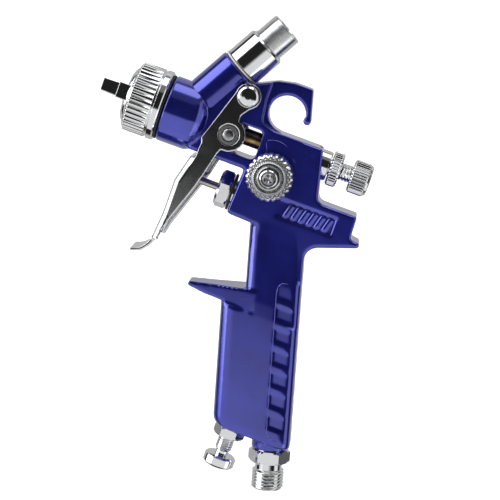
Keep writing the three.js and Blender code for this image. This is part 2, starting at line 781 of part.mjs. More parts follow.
function gunBody() {
  const plateBody = join(cut(spine(), hookOpening(), hookThinning()), hookTip());
  const outside = join(plateBody, head(), cupTube(), handle(), fingerRest(), inletBoss());
  const bores = join(needleBores(), cupBores(), airBores());
  return cut(outside, bores, windowOpening(), gripPads(), sidePanel());
}

// ---- air cap, its ring, nozzle and baffle ----

function airCap() {
  const inner = CAP_FACE_R - CAP_WALL;
  const dome = turned(
    [
      [BOSS_R, CAP_BACK],
      [BOSS_R, CAP_BACK - CAP_FLANGE],
      [CAP_FACE_R, CAP_BACK - CAP_FLANGE],
      [CAP_FACE_R, RING_FRONT - 0.2],
      [CAP_FACE_R - 0.6, RING_FRONT - 1.1],
      [CAP_FACE_R - 2.2, RING_FRONT - 1.8],
      [CAP_HOLE_R, CAP_FRONT],
      [CAP_HOLE_R, CAP_FRONT + CAP_WALL],
      [inner - 1.4, RING_FRONT - 0.6],
      [inner, RING_FRONT + 0.4],
      [inner, CAP_BACK],
    ],
    32,
    onNeedle(0),
    X_AXIS,
  );
  const horns = [-1, 1].map(airHorn);
  return join(dome, ...horns);
}

// One horn with its two air ports, on the side that sign gives.
function airHorn(sign) {
  const back = RING_FRONT - 1.2;
  const front = CAP_FRONT - HORN_BASE - HORN_LENGTH + 0.5;
  const step = CAP_FRONT - HORN_BASE + 0.5;
  const spans = ([a, b]) => [Math.min(sign * a, sign * b), Math.max(sign * a, sign * b)];
  const wide = spans([HORN_IN - 0.6, HORN_OUT]);
  const slim = spans([HORN_IN, HORN_OUT - 0.3]);
  const z0 = AXIS_Z - HORN_BASE_HEIGHT / 2;
  const z1 = AXIS_Z - HORN_HEIGHT / 2;
  const base = box(step, back, wide[0], wide[1], z0, z0 + HORN_BASE_HEIGHT);
  const arm = box(front, step + 0.1, slim[0], slim[1], z1, z1 + HORN_HEIGHT);
  const inward = new THREE.Vector3(0.45, -sign, 0).normalize();
  const ports = [front + 1.6, front + 3.9].map((x) => {
    const start = new THREE.Vector3(x, sign * (HORN_IN + 2), AXIS_Z);
    return rod(HORN_PORT_R, 0, 6, 12, start, inward);
  });
  const horn = cut(join(base, arm), ...ports);
  return horn.translate([0, 0, -AXIS_Z]).rotate([-HORN_TURN, 0, 0]).translate([0, 0, AXIS_Z]);
}

function airCapRing() {
  const rimStart = RING_BACK - RING_RIM;
  const core = turned(
    [
      [LIP_INNER_R, RING_FRONT],
      [RING_R - 1, RING_FRONT],
      [RING_R - RING_GROOVE_DEPTH, RING_FRONT + 0.5],
      [RING_R - RING_GROOVE_DEPTH, rimStart],
      [RING_R, rimStart + 0.3],
      [RING_R, RING_BACK - 0.4],
      [RING_R - 0.4, RING_BACK],
      [RING_INNER_R, RING_BACK],
      [RING_INNER_R, RING_FRONT + RING_LIP],
      [LIP_INNER_R, RING_FRONT + RING_LIP],
    ],
    32,
    onNeedle(0),
    X_AXIS,
  );
  const shape = grooved(RING_R, RING_GROOVE_DEPTH + 0.2, RING_GROOVES);
  const start = onNeedle(RING_FRONT + 0.6);
  const grip = groovedRing(shape, RING_INNER_R + 0.6, start, rimStart - RING_FRONT - 0.4, X_AXIS, 40);
  return join(core, grip);
}

function fluidNozzle() {
  const flangeFront = HEAD_BOSS_FRONT - GAP - NOZZLE_FLANGE;
  const tip = CAP_FRONT - 0.4;
  return turned(
    [
      [NOZZLE_TIP_BORE_R, tip],
      [NOZZLE_TIP_R, tip],
      [NOZZLE_TIP_R, tip + 3],
      [3.6, flangeFront - 2],
      [NOZZLE_FLANGE_R - 1, flangeFront],
      [NOZZLE_FLANGE_R, flangeFront + 0.6],
      [NOZZLE_FLANGE_R, flangeFront + NOZZLE_FLANGE],
      [NOZZLE_SHANK_R, flangeFront + NOZZLE_FLANGE],
      [NOZZLE_SHANK_R, NOZZLE_BACK],
      [NOZZLE_BORE_R, NOZZLE_BACK],
      [NOZZLE_BORE_R, tip + 7.5],
      [NOZZLE_TIP_BORE_R, tip + 1.6],
    ],
    18,
    onNeedle(0),
    X_AXIS,
  );
}

function airBaffle() {
  const back = HEAD_BOSS_FRONT - GAP;
  return turned(
    [
      [NOZZLE_FLANGE_R + GAP, back - 1.6],
      [BAFFLE_R - 1.5, back - 1.6],
      [BAFFLE_R, back - 0.8],
      [BAFFLE_R, back],
      [NOZZLE_FLANGE_R + GAP, back],
    ],
    24,
    onNeedle(0),
    X_AXIS,
  );
}

const headGasket = () =>
  needleTube(RING_INNER_R, HEAD_R - 0.2, HEAD_FRONT - GAP - GASKET_LENGTH, HEAD_FRONT - GAP, 32);

// ---- needle group ----

function needle() {
  const tip = CAP_FRONT + 0.8;
  const profile = [
    [0, tip],
    [0.4, tip],
    [NEEDLE_R, tip + NEEDLE_CONE + 2.6],
    [NEEDLE_R, NEEDLE_TAIL - 0.4],
    [NEEDLE_R - 0.4, NEEDLE_TAIL],
    [0, NEEDLE_TAIL],
  ];
  return turned(profile, 16, onNeedle(0), X_AXIS);
}

function needleSleeve() {
  const profile = [
    [NEEDLE_R + SLIDING, SLEEVE_FRONT],
    [SLEEVE_R - 0.5, SLEEVE_FRONT],
    [SLEEVE_R, SLEEVE_FRONT + 0.5],
    [SLEEVE_R, SLEEVE_BACK],
    [NEEDLE_R + SLIDING, SLEEVE_BACK],
  ];
  return turned(profile, 22, onNeedle(0), X_AXIS);
}

const needlePacking = () =>
  needleTube(NEEDLE_R + SLIDING, PACKING_R, PACKING_FRONT, PACKING_FRONT + PACKING_LENGTH, 24);

function packingNut() {
  const front = PACKING_FRONT + PACKING_LENGTH + GAP;
  const ring = needleTube(NEEDLE_R + SLIDING, PACKING_R, front, front + PACKING_NUT, 24);
  const back = front + PACKING_NUT;
  const slot = box(back - 1, back + 1, -5, 5, AXIS_Z - 0.5, AXIS_Z + 0.5);
  return cut(ring, slot);
}

const needleSpring = () => {
  const end = STOP_FRONT - GAP - 2;
  return helixSpring(NEEDLE_SPRING_R, SPRING_WIRE_R, SLEEVE_BACK + GAP, end, SPRING_TURNS, AXIS_Z);
};

// The seat that the fluid screw carries: it presses the spring and stops the needle.
function needleStop() {
  const front = STOP_FRONT - 2;
  return turned(
    [
      [0, front + 1],
      [1.6, front + 1],
      [1.6, front],
      [STOP_R, front],
      [STOP_R, front + STOP_LENGTH],
      [0, front + STOP_LENGTH],
    ],
    18,
    onNeedle(0),
    X_AXIS,
  );
}

function fluidHousing() {
  return turned(
    [
      [SCREW_R + GAP, HOUSING_FRONT],
      [HOUSING_R, HOUSING_FRONT],
      [HOUSING_R, HOUSING_BACK - 0.4],
      [HOUSING_R - 0.4, HOUSING_BACK],
      [SCREW_R + GAP, HOUSING_BACK],
    ],
    28,
    onNeedle(0),
    X_AXIS,
  );
}

function lockRing() {
  const shape = grooved(LOCK_R, KNURL_DEPTH, KNURLS);
  return groovedRing(shape, SCREW_R + GAP, onNeedle(LOCK_FRONT), LOCK_LENGTH, X_AXIS);
}

function fluidKnob() {
  const screw = turned(
    [
      [0, STOP_FRONT + STOP_LENGTH - 2 + GAP],
      [SCREW_R - SCREW_ROOT, STOP_FRONT + STOP_LENGTH - 2 + GAP],
      [SCREW_R - SCREW_ROOT, LOCK_FRONT + 1],
      ...threadProfile(SCREW_R, SCREW_ROOT, SCREW_PITCH, LOCK_FRONT + 1.1, KNOB_FRONT - 0.4),
      [SCREW_R - SCREW_ROOT, KNOB_FRONT + 0.5],
      [0, KNOB_FRONT + 0.5],
    ],
    20,
    onNeedle(0),
    X_AXIS,
  );
  const grip = groovedRing(
    grooved(KNOB_R, KNURL_DEPTH, KNURLS),
    0,
    onNeedle(KNOB_FRONT),
    KNOB_LENGTH - 0.7,
    X_AXIS,
  );
  const end = turned(
    [
      [0, KNOB_BACK - 1],
      [KNOB_R - KNURL_DEPTH - 0.1, KNOB_BACK - 1],
      [KNOB_R - 0.9, KNOB_BACK],
      [0, KNOB_BACK],
    ],
    24,
    onNeedle(0),
    X_AXIS,
  );
  return join(screw, grip, end);
}

// ---- cup adapter ----

function cupSeal() {
  const start = CUP_TUBE_LENGTH + GAP;
  return tube(SPIGOT_R + GAP, CUP_TUBE_R - 0.3, start, start + CUP_SEAL, 28, CUP_START, CUP_AXIS);
}

function cupAdapter() {
  const base = CUP_TUBE_LENGTH + CUP_SEAL + 2 * GAP;
  const shoulder = base + ADAPTER_LENGTH;
  const end = shoulder + CUP_THREAD_LENGTH + 0.6;
  const root = CUP_THREAD_PITCH * 0.55;
  return turned(
    [
      [CUP_BORE_R, CUP_TUBE_LENGTH - SPIGOT_LENGTH],
      [SPIGOT_R, CUP_TUBE_LENGTH - SPIGOT_LENGTH],
      [SPIGOT_R, base],
      [ADAPTER_R, base],
      [ADAPTER_R, shoulder - 0.8],
      [ADAPTER_R - 0.8, shoulder],
      ...threadProfile(CUP_THREAD_R, root, CUP_THREAD_PITCH, shoulder + 0.1, end - 0.4),
      [CUP_THREAD_R - root, end],
      [CUP_BORE_R + 0.5, end],
      [CUP_BORE_R, end - 0.5],
    ],
    18,
    CUP_START,
    CUP_AXIS,
  );
}

// ---- trigger ----

// Front line of the finger plate, and the back edge of the near cheek, by height.
const triggerFront = (z) => {
  const bend = TRIGGER_BEND_Z;
  if (z > bend) return TRIGGER_FRONT_X + (z - bend) * 0.26;
  return TRIGGER_FRONT_X - Math.max(0, bend - 14 - z) * 0.09;
};

const triggerBack = (z) => {
  const knee = TRIGGER_BEND_Z + 2;
  if (z > knee) return -23.1 + (z - knee) * 0.235;
  return Math.max(-23.1 + (z - knee) * 0.34, triggerFront(z) + 2.6);
};

function channelSection(z) {
  const front = triggerFront(z);
  const near = triggerBack(z);
  const far = near + FAR_CHEEK_EXTRA * Math.min(1, (z - TRIGGER_FOOT) / 12);
  const inside = front + WEB_T;
  const round = 2.4;
  const shape = outline([
    [near, -CHEEK_OUT],
    [front, -CHEEK_OUT, round],
    [front, CHEEK_OUT, round],
    [far, CHEEK_OUT],
    [far, CHEEK_IN],
    [inside, CHEEK_IN, round - WEB_T],
    [inside, -CHEEK_IN, round - WEB_T],
    [near, -CHEEK_IN],
  ], 2);
  return shape.getPoints(1).slice(0, 16).map((p) => new THREE.Vector3(p.x, p.y, z));
}

// One cheek from the pivot ear down to the channel; side is -1 near, +1 far.
function cheek(side) {
  const extra = side > 0 ? FAR_CHEEK_EXTRA : 0;
  const shape = outline([
    [PIVOT_X - EAR_R + 0.05, PIVOT_Z],
    [BAR_X - 9.6, BAR_Z - 4.5, 0.7],
    [BAR_X - 8.9, BAR_Z - 6.2, 0.7],
    [triggerFront(WEB_TOP) + 2, WEB_TOP],
    [triggerFront(-34) + 2.6, -34],
    [triggerBack(-34) + extra, -34],
    [triggerBack(-23.2) + extra, -23.2, 1],
    [BAR_X - 0.9 + extra, BAR_Z - 6.2],
    [BAR_X, BAR_Z],
    [PIVOT_X - 0.2, -8.2, 0.5],
    [PIVOT_X - 0.1, -6, 1],
    [PIVOT_X + 2.3, -2.6],
    [PIVOT_X + 3, PIVOT_Z],
  ]);
  const inner = side < 0 ? -CHEEK_OUT : CHEEK_IN;
  const outer = inner + CHEEK_T;
  const body = join(
    plate(shape, inner, outer),
    plate(circle(PIVOT_X, PIVOT_Z, EAR_R, 24), inner, outer),
    plate(circle(BAR_X, BAR_Z, BAR_BOSS_R, 26), inner, outer),
  );
  const dishLow = side < 0 ? -CHEEK_OUT - 1 : CHEEK_IN + CHEEK_T / 2;
  const dish = plate(circle(BAR_X, BAR_Z, BAR_DISH_R, 20), dishLow, dishLow + 1 + CHEEK_T / 2);
  const holes = join(
    plate(circle(BAR_X, BAR_Z, BAR_END_R + RUNNING, 22), inner - 1, outer + 1),
    plate(circle(PIVOT_X, PIVOT_Z, STUD_R + RUNNING, 22), inner - 1, outer + 1),
  );
  return cut(body, dish, holes);
}

// The thin lip that curls forward at the foot of the finger plate.
function triggerLip() {
  const top = TRIGGER_FOOT + 6;
  const x = triggerFront(top);
  const shape = outline([
    [x, top],
    [x - 0.4, TRIGGER_FOOT + 3.2, 6],
    [x - 3.2, TRIGGER_FOOT - 0.6, 6],
    [LIP_TIP_X, TRIGGER_FOOT - 1.9, 0.3],
    [LIP_TIP_X + 0.4, TRIGGER_FOOT - 2.9, 0.3],
    [x - 2.2, TRIGGER_FOOT - 1.4, 5],
    [x + 1.1, TRIGGER_FOOT + 2.6, 5],
    [x + WEB_T, top],
  ]);
  return plate(shape, -CHEEK_IN, CHEEK_IN);
}

function trigger() {
  const levels = [WEB_TOP, TRIGGER_BEND_Z, -45, TRIGGER_BEND_Z - 14, -58, -62.5];
  const channel = loft(levels.map(channelSection));
  return join(channel, cheek(-1), cheek(1), triggerLip());
}

const barAt = () => new THREE.Vector3(BAR_X, 0, BAR_Z);

function triggerBar() {
  const long = CHEEK_OUT + 0.5;
  const short = CHEEK_IN - GAP;
  const bar = turned(
    [
      [0, -long],
      [BAR_END_R - 0.4, -long],
      [BAR_END_R, -long + 0.4],
      [BAR_END_R, -short],
      [BAR_R, -short],
      [BAR_R, short],
      [BAR_END_R, short],
      [BAR_END_R, long - 0.4],
      [BAR_END_R - 0.4, long],
      [0, long],
    ],
    24,
    barAt(),
    NEAR,
  );
  return cut(bar, needleRod(NEEDLE_R + 0.65, BAR_X - BAR_R - 1, BAR_X + BAR_R + 1, 24));
}

function barClip(side) {
  const from = CHEEK_IN + CHEEK_T / 2 + 0.2;
  const direction = new THREE.Vector3(0, side, 0);
  return tube(BAR_END_R + SLIDING, BAR_DISH_R - 0.4, from, from + 0.5, 24, barAt(), direction);
}

function pivotStud() {
  const shankEnd = CHEEK_OUT;
  return turned(
    [
      [STUD_R - 0.7, -shankEnd],
      [STUD_R, -shankEnd],
      [STUD_R, shankEnd + GAP],
      [STUD_HEAD_R, shankEnd + GAP],
      [STUD_HEAD_R, shankEnd + GAP + STUD_HEAD * 0.4],
      [STUD_HEAD_R * 0.7, shankEnd + GAP + STUD_HEAD * 0.85],
      [0, shankEnd + GAP + STUD_HEAD],
      [0, shankEnd - 8],
      [STUD_R - 0.7, shankEnd - 9],
    ],
    24,
    pivotAt(),
    new THREE.Vector3(0, 1, 0),
  );
}

function pivotScrew() {
  const under = CHEEK_OUT + GAP;
  return turned(
    [
      [0, -1.2],
      [STUD_R - 0.7 - GAP, -1.2],
      [STUD_R - 0.7 - GAP, under],
      [STUD_HEAD_R, under],
      [STUD_HEAD_R, under + STUD_HEAD * 0.35],
      [STUD_HEAD_R * 0.92, under + STUD_HEAD * 0.65],
      [STUD_HEAD_R * 0.6, under + STUD_HEAD * 0.92],
      [0, under + STUD_HEAD],
    ],
    24,
    pivotAt(),
    NEAR,
  );
}

function pivotWasher(side) {
  const direction = new THREE.Vector3(0, side, 0);
  const from = CHEEK_IN - GAP - WASHER_T;
  return tube(STUD_R + SLIDING, EAR_R - 0.5, from, from + WASHER_T, 28, pivotAt(), direction);
}

// ---- air valve ----

const valveAt = () => new THREE.Vector3(0, 0, VALVE_Z);

function valveNut() {
  const start = new THREE.Vector3(VALVE_NUT_FRONT, 0, VALVE_Z);
  const hole = VALVE_STEM_R + SLIDING;
  const hex = hexBar(VALVE_NUT_FLATS, hole, start, VALVE_NUT, X_AXIS, 0.16);
  const chamfer = turned(
    [
      [0, VALVE_NUT_FRONT - 1],
      [VALVE_NUT_FLATS / 2 - 1.3, VALVE_NUT_FRONT - 1],
      [VALVE_NUT_FLATS / 2 + 3.2, VALVE_NUT_FRONT + 2.4],
      [VALVE_NUT_FLATS / 2 + 3.2, NUT_BACK + 1],
      [0, NUT_BACK + 1],
    ],
    24,
    valveAt(),
    X_AXIS,
  );
  const spigotEnd = NUT_BACK + 6.8;
  const spigot = tube(hole, VALVE_BORE_R - GAP, NUT_BACK - 1, spigotEnd, 20, valveAt(), X_AXIS);
  return join(hex.intersect(chamfer), spigot);
}

const valveWasher = () =>
  tube(VALVE_BORE_R, VALVE_WASHER_R, NUT_BACK + GAP, WASHER_BACK, 28, valveAt(), X_AXIS);

function valveStem() {
  return turned(
    [
      [0, VALVE_STEM_FRONT],
      [VALVE_STEM_R - 0.4, VALVE_STEM_FRONT],
      [VALVE_STEM_R, VALVE_STEM_FRONT + 0.5],
      [VALVE_STEM_R, POPPET_X],
      [POPPET_R - 1, POPPET_X],
      [POPPET_R, POPPET_X + 1],
      [POPPET_R, POPPET_X + POPPET],
      [0, POPPET_X + POPPET],
    ],
    18,
    valveAt(),
    X_AXIS,
  );
}

const valveSpring = () =>
  helixSpring(3.1, SPRING_WIRE_R, POPPET_X + POPPET + GAP, VALVE_CHAMBER_END - GAP, 5, VALVE_Z);

// ---- pattern dial ----

function patternHousing() {
  const inner = DIAL_STEM_R + SLIDING;
  return turned(
    [
      [inner, 1],
      [DIAL_HOUSING_R, 1],
      [DIAL_HOUSING_R, BODY_HALF + GAP],
      [DIAL_HOUSING_R + 1.6, BODY_HALF + GAP],
      [DIAL_HOUSING_R + 1.6, DIAL_BACK - GAP],
      [inner, DIAL_BACK - GAP],
    ],
    24,
    DIAL_AT,
    NEAR,
  );
}

function patternStem() {
  const end = DIAL_BACK + DIAL_RIM + DIAL_CROWN + DIAL_HUB - 0.9;
  return turned(
    [
      [0, 0.5],
      [1, 0.5],
      [DIAL_STEM_R, 2.5],
      [DIAL_STEM_R, end],
      [1.3, end],
      [1.3, end - 6],
      [0, end - 6],
    ],
    18,
    DIAL_AT,
    NEAR,
  );
}

function patternDial() {
  const hole = DIAL_STEM_R + GAP;
  const at = (t) => DIAL_AT.clone().addScaledVector(NEAR, t);
  const crownAt = DIAL_BACK + DIAL_RIM;
  const rim = groovedRing(grooved(DIAL_R, 0.7, DIAL_LOBES), hole, at(DIAL_BACK), DIAL_RIM, NEAR);
  const crown = groovedRing(
    grooved(DIAL_CROWN_R, 0.45, DIAL_LOBES),
    hole,
    at(crownAt - 0.2),
    DIAL_CROWN + 0.2,
    NEAR,
  );
  const hubEnd = crownAt + DIAL_CROWN + DIAL_HUB;
  const hub = turned(
    [
      [hole, crownAt],
      [DIAL_HUB_R, crownAt],
      [DIAL_HUB_R, hubEnd - 0.4],
      [DIAL_HUB_R - 0.4, hubEnd],
      [hole, hubEnd],
    ],
    24,
    DIAL_AT,
    NEAR,
  );
  return join(rim, crown, hub);
}

function dialScrew() {
  const seat = DIAL_BACK + DIAL_RIM + DIAL_CROWN + DIAL_HUB - 0.5;
  const head = turned(
    [
      [0, seat - 5],
      [1, seat - 5],
      [1, seat],
      [DIAL_SCREW_R, seat],
      [DIAL_SCREW_R, seat + DIAL_SCREW * 0.7],
      [DIAL_SCREW_R - 0.5, seat + DIAL_SCREW],
      [0, seat + DIAL_SCREW],
    ],
    18,
    DIAL_AT,
    NEAR,
  );
  const top = seat + DIAL_SCREW;
  const slots = [[1.4, 0.25], [0.25, 1.4]].map(([w, h]) =>
    box(DIAL_X - w, DIAL_X + w, -top - 1, -top + 0.7, DIAL_Z - h, DIAL_Z + h),
  );
  return cut(head, ...slots);
}

// ---- air regulator ----

function regulatorNut() {
  const flats = REG_NUT_R * Math.sqrt(3);
  const start = REG_TOP.clone().addScaledVector(DOWN, GAP);
  return hexBar(flats, REG_SCREW_R + GAP, start, REG_NUT, DOWN);
}

function regulatorScrew() {
  const top = REG_PLUG + GAP - REG_PLUG_TOP;
  const root = REG_SCREW_R - 0.45;
  return turned(
    [
      [0, top],
      [root, top],
      [root, REG_NUT - 1],
      ...threadProfile(REG_SCREW_R, 0.45, REG_PITCH, REG_NUT - 0.9, REG_THREAD),
      [REG_NECK_R, REG_THREAD + 0.6],
      [REG_NECK_R, REG_DISC_DROP],
      [REG_DISC_R - 0.6, REG_DISC_DROP],
      [REG_DISC_R, REG_DISC_DROP + 0.6],
      [REG_DISC_R, REG_DISC_DROP + REG_DISC - 0.8],
      [REG_DISC_R - 0.8, REG_DISC_DROP + REG_DISC],
      [0, REG_DISC_DROP + REG_DISC],
    ],
    16,
    REG_TOP,
    DOWN,
  );
}

function regulatorPlug() {
  const low = REG_PLUG_TOP - REG_PLUG;
  const profile = [
    [0, low],
    [REG_SCREW_R - 0.4, low],
    [REG_SCREW_R - 0.4, low + REG_PLUG - 2.5],
    [0.8, low + REG_PLUG],
    [0, low + REG_PLUG],
  ];
  return turned(profile, 16, REG_TOP, UP);
}

// ---- air inlet ----

function inletNipple() {
  const hexEnd = GAP + INLET_HEX;
  const threadStart = hexEnd + INLET_NECK;
  const end = threadStart + INLET_THREAD_LENGTH;
  const root = INLET_PITCH * 0.5;
  const core = turned(
    [
      [INLET_BORE_R, -INLET_SPIGOT],
      [INLET_SPIGOT_R, -INLET_SPIGOT],
      [INLET_SPIGOT_R, GAP + 1],
      [INLET_SPIGOT_R, hexEnd],
      [INLET_NECK_R, hexEnd + 0.3],
      [INLET_NECK_R, threadStart],
      ...threadProfile(INLET_THREAD_R, root, INLET_PITCH, threadStart + 0.1, end - 0.2),
      [INLET_THREAD_R - root - 0.2, end],
      [INLET_BORE_R + 0.5, end],
      [INLET_BORE_R, end - 0.6],
    ],
    18,
    INLET_FOOT,
    INLET_AXIS,
  );
  const start = INLET_FOOT.clone().addScaledVector(INLET_AXIS, GAP);
  const hex = hexBar(INLET_FLATS, INLET_BORE_R + 0.4, start, INLET_HEX, INLET_AXIS);
  return join(core, hex);
}

// ---- the whole gun ----

function group(name, ...pieces) {
  const made = new THREE.Group();
  made.name = name;
  made.add(...pieces);
  return made;
}

const frontAt = onNeedle(HEAD_FRONT);
const backAt = onNeedle(HOUSING_FRONT);

const gun = group(
  "spray_gun",
  group(
    "casting",
    pieceOf("gun_body", gunBody(), "blue"),
    pieceOf("fluid_nozzle", fluidNozzle(), "steel", frontAt),
    pieceOf("air_baffle", airBaffle(), "brass", frontAt),
    pieceOf("head_gasket", headGasket(), "black", frontAt),
    pieceOf("cup_seal", cupSeal(), "nylon", CUP_START),
    pieceOf("cup_adapter", cupAdapter(), "chrome", CUP_START),
    pieceOf("inlet_nipple", inletNipple(), "chrome", INLET_FOOT),
  ),
  group(
    "air_cap_parts",
    pieceOf("air_cap", airCap(), "chrome", frontAt),
    pieceOf("air_cap_ring", airCapRing(), "chrome", frontAt),
  ),
  group(
    "needle_parts",
    pieceOf("needle", needle(), "steel", onNeedle(0)),
    pieceOf("needle_sleeve", needleSleeve(), "brass", onNeedle(0)),
    pieceOf("needle_packing", needlePacking(), "nylon", onNeedle(0)),
    pieceOf("packing_nut", packingNut(), "brass", onNeedle(0)),
    pieceOf("needle_spring", needleSpring(), "steel", onNeedle(0)),
  ),
  group(
    "fluid_control",
    pieceOf("needle_stop", needleStop(), "brass", backAt),
    pieceOf("fluid_housing", fluidHousing(), "chrome", backAt),
    pieceOf("lock_ring", lockRing(), "chrome", backAt),
    pieceOf("fluid_knob", fluidKnob(), "chrome", backAt),
  ),
  group(
    "trigger_parts",
    pieceOf("trigger", trigger(), "chrome", pivotAt()),
    pieceOf("trigger_bar", triggerBar(), "steel", barAt()),
    pieceOf("bar_clip_near", barClip(-1), "steel", barAt()),
    pieceOf("bar_clip_far", barClip(1), "steel", barAt()),
    pieceOf("pivot_stud", pivotStud(), "chrome", pivotAt()),
    pieceOf("pivot_screw", pivotScrew(), "chrome", pivotAt()),
    pieceOf("pivot_washer_near", pivotWasher(-1), "nylon", pivotAt()),
    pieceOf("pivot_washer_far", pivotWasher(1), "nylon", pivotAt()),
  ),
  group(
    "air_valve",
    pieceOf("valve_nut", valveNut(), "chrome", valveAt()),
    pieceOf("valve_washer", valveWasher(), "black", valveAt()),
    pieceOf("valve_stem", valveStem(), "steel", valveAt()),
    pieceOf("valve_spring", valveSpring(), "steel", valveAt()),
  ),
  group(
    "pattern_control",
    pieceOf("pattern_housing", patternHousing(), "chrome", DIAL_AT),
    pieceOf("pattern_stem", patternStem(), "steel", DIAL_AT),
    pieceOf("pattern_dial", patternDial(), "chrome", DIAL_AT),
    pieceOf("dial_screw", dialScrew(), "steel", DIAL_AT),
  ),
  group(
    "air_regulator",
    pieceOf("regulator_nut", regulatorNut(), "chrome", REG_TOP),
    pieceOf("regulator_screw", regulatorScrew(), "chrome", REG_TOP),
    pieceOf("regulator_plug", regulatorPlug(), "brass", REG_TOP),
  ),
);

export default gun;
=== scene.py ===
import json
import math

import bmesh
import bpy
import numpy as np
from mathutils import Matrix, Vector


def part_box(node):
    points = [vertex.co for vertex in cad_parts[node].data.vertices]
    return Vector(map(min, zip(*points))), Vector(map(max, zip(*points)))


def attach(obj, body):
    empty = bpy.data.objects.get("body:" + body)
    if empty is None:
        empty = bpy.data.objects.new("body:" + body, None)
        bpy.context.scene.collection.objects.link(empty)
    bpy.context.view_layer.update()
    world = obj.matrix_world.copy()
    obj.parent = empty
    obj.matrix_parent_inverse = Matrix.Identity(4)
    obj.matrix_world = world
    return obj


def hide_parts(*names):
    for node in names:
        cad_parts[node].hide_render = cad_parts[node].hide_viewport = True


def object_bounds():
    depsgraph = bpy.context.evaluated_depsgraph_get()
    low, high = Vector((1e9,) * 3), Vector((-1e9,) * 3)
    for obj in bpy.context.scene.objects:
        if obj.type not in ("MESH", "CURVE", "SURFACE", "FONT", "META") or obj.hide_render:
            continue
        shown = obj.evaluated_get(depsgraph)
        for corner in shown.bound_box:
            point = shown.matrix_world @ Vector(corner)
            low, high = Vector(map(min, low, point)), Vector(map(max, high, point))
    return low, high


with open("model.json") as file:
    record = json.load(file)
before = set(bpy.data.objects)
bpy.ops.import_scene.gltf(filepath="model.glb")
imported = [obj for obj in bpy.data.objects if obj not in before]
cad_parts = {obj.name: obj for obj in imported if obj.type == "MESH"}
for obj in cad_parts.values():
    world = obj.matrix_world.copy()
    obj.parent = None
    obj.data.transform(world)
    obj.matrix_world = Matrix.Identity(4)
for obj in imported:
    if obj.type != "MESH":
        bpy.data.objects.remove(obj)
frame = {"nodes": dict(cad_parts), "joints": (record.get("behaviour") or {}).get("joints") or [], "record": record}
cadLow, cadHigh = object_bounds()

mm = 0.001
scene = bpy.context.scene
record = frame["record"]
mounts = {m["name"]: m for m in record["mounts"]}
joints = {j["name"]: j for j in frame["joints"]}
near = Vector((0, -1, 0))
along = Vector((1, 0, 0))  # back along the needle
up = Vector((0, 0, 1))


def stage(words):
    print("spray gun:", words)


class Wire:  # a node's output, which can be added, multiplied and compared

    def __init__(self, graph, socket):
        self.graph, self.socket = graph, socket

    def sum(self, operation, *values, clamp=False):
        inputs = dict(enumerate(values))
        settings = {"operation": operation, "use_clamp": clamp}
        return self.graph.node("ShaderNodeMath", settings, inputs)

    def __add__(self, other):
        return self.sum("ADD", self, other)

    def __radd__(self, other):
        return self.sum("ADD", other, self)

    def __sub__(self, other):
        return self.sum("SUBTRACT", self, other)

    def __rsub__(self, other):
        return self.sum("SUBTRACT", other, self)

    def __mul__(self, other):
        return self.sum("MULTIPLY", self, other)

    def __truediv__(self, other):
        return self.sum("DIVIDE", self, other)

    def __abs__(self):
        return self.sum("ABSOLUTE", self)

    def clamped(self):
        return self.sum("ADD", self, 0.0, clamp=True)

    def fract(self):
        return self.sum("FRACT", self)

    def least(self, other):
        return self.sum("MINIMUM", self, other)

    def smooth(self, low, high):  # 0 under low, 1 over high, soft between
        settings = {"interpolation_type": "SMOOTHSTEP"}
        inputs = {"Value": self, "From Min": low, "From Max": high}
        return self.graph.node("ShaderNodeMapRange", settings, inputs)


class Graph:  # a node tree being filled

    def __init__(self, tree):
        self.tree = tree
        tree.nodes.clear()

    def node(self, kind, settings=None, inputs=None, output=0):
        made = self.tree.nodes.new(kind)
        for key, value in (settings or {}).items():
            setattr(made, key, value)
        for key, value in (inputs or {}).items():
            if isinstance(value, Wire):
                self.tree.links.new(value.socket, made.inputs[key])
            else:
                made.inputs[key].default_value = value
        return Wire(self, made.outputs[output]) if len(made.outputs) else None

    def vector(self, operation, *values, output=0, **named):
        inputs = {**dict(enumerate(values)), **named}
        return self.node("ShaderNodeVectorMath", {"operation": operation}, inputs, output)

    def blend(self, share, first, second):  # two colours
        inputs = {"Factor": share, 6: first, 7: second}
        return self.node("ShaderNodeMix", {"data_type": "RGBA"}, inputs, output=2)

    def speckle(self, scale, detail, stretch=None):
        place = self.node("ShaderNodeTexCoord", output="Object")
        if stretch:
            place = self.node("ShaderNodeMapping", None, {"Vector": place, "Scale": stretch})
        inputs = {"Vector": place, "Scale": scale, "Detail": detail}
        return self.node("ShaderNodeTexNoise", None, inputs)

    def bump(self, height, strength, distance):
        inputs = {"Height": height, "Strength": strength, "Distance": distance}
        return self.node("ShaderNodeBump", None, inputs)


def newMaterial(name):
    material = bpy.data.materials.new(name)
    material.use_nodes = True
    return material, Graph(material.node_tree)


def finishMaterial(graph, **sockets):
    inputs = {key.replace("_", " "): value for key, value in sockets.items()}
    shader = graph.node("ShaderNodeBsdfPrincipled", None, inputs)
    graph.node("ShaderNodeOutputMaterial", None, {"Surface": shader})


paint = {
    "deep": (0.021, 0.027, 0.38, 1),
    "light": (0.034, 0.045, 0.52, 1),
    # lilac colour for the bright flakes and for the painted highlight on outward edges
    "edge": (0.16, 0.17, 0.62, 1),
    "metallic": 0.78,
    "roughness": 0.2,
    "glint": 0.09,  # share of bright flakes
    "paintedEdgeHighlight": 0.35,  # painted highlight: paint made lighter on outward edges, where they catch the light
    "coatIndex": 1.75,
    "coatRoughness": 0.045,
    "peel": 0.007,  # orange peel of the clear coat
    "dust": 0.03,
}


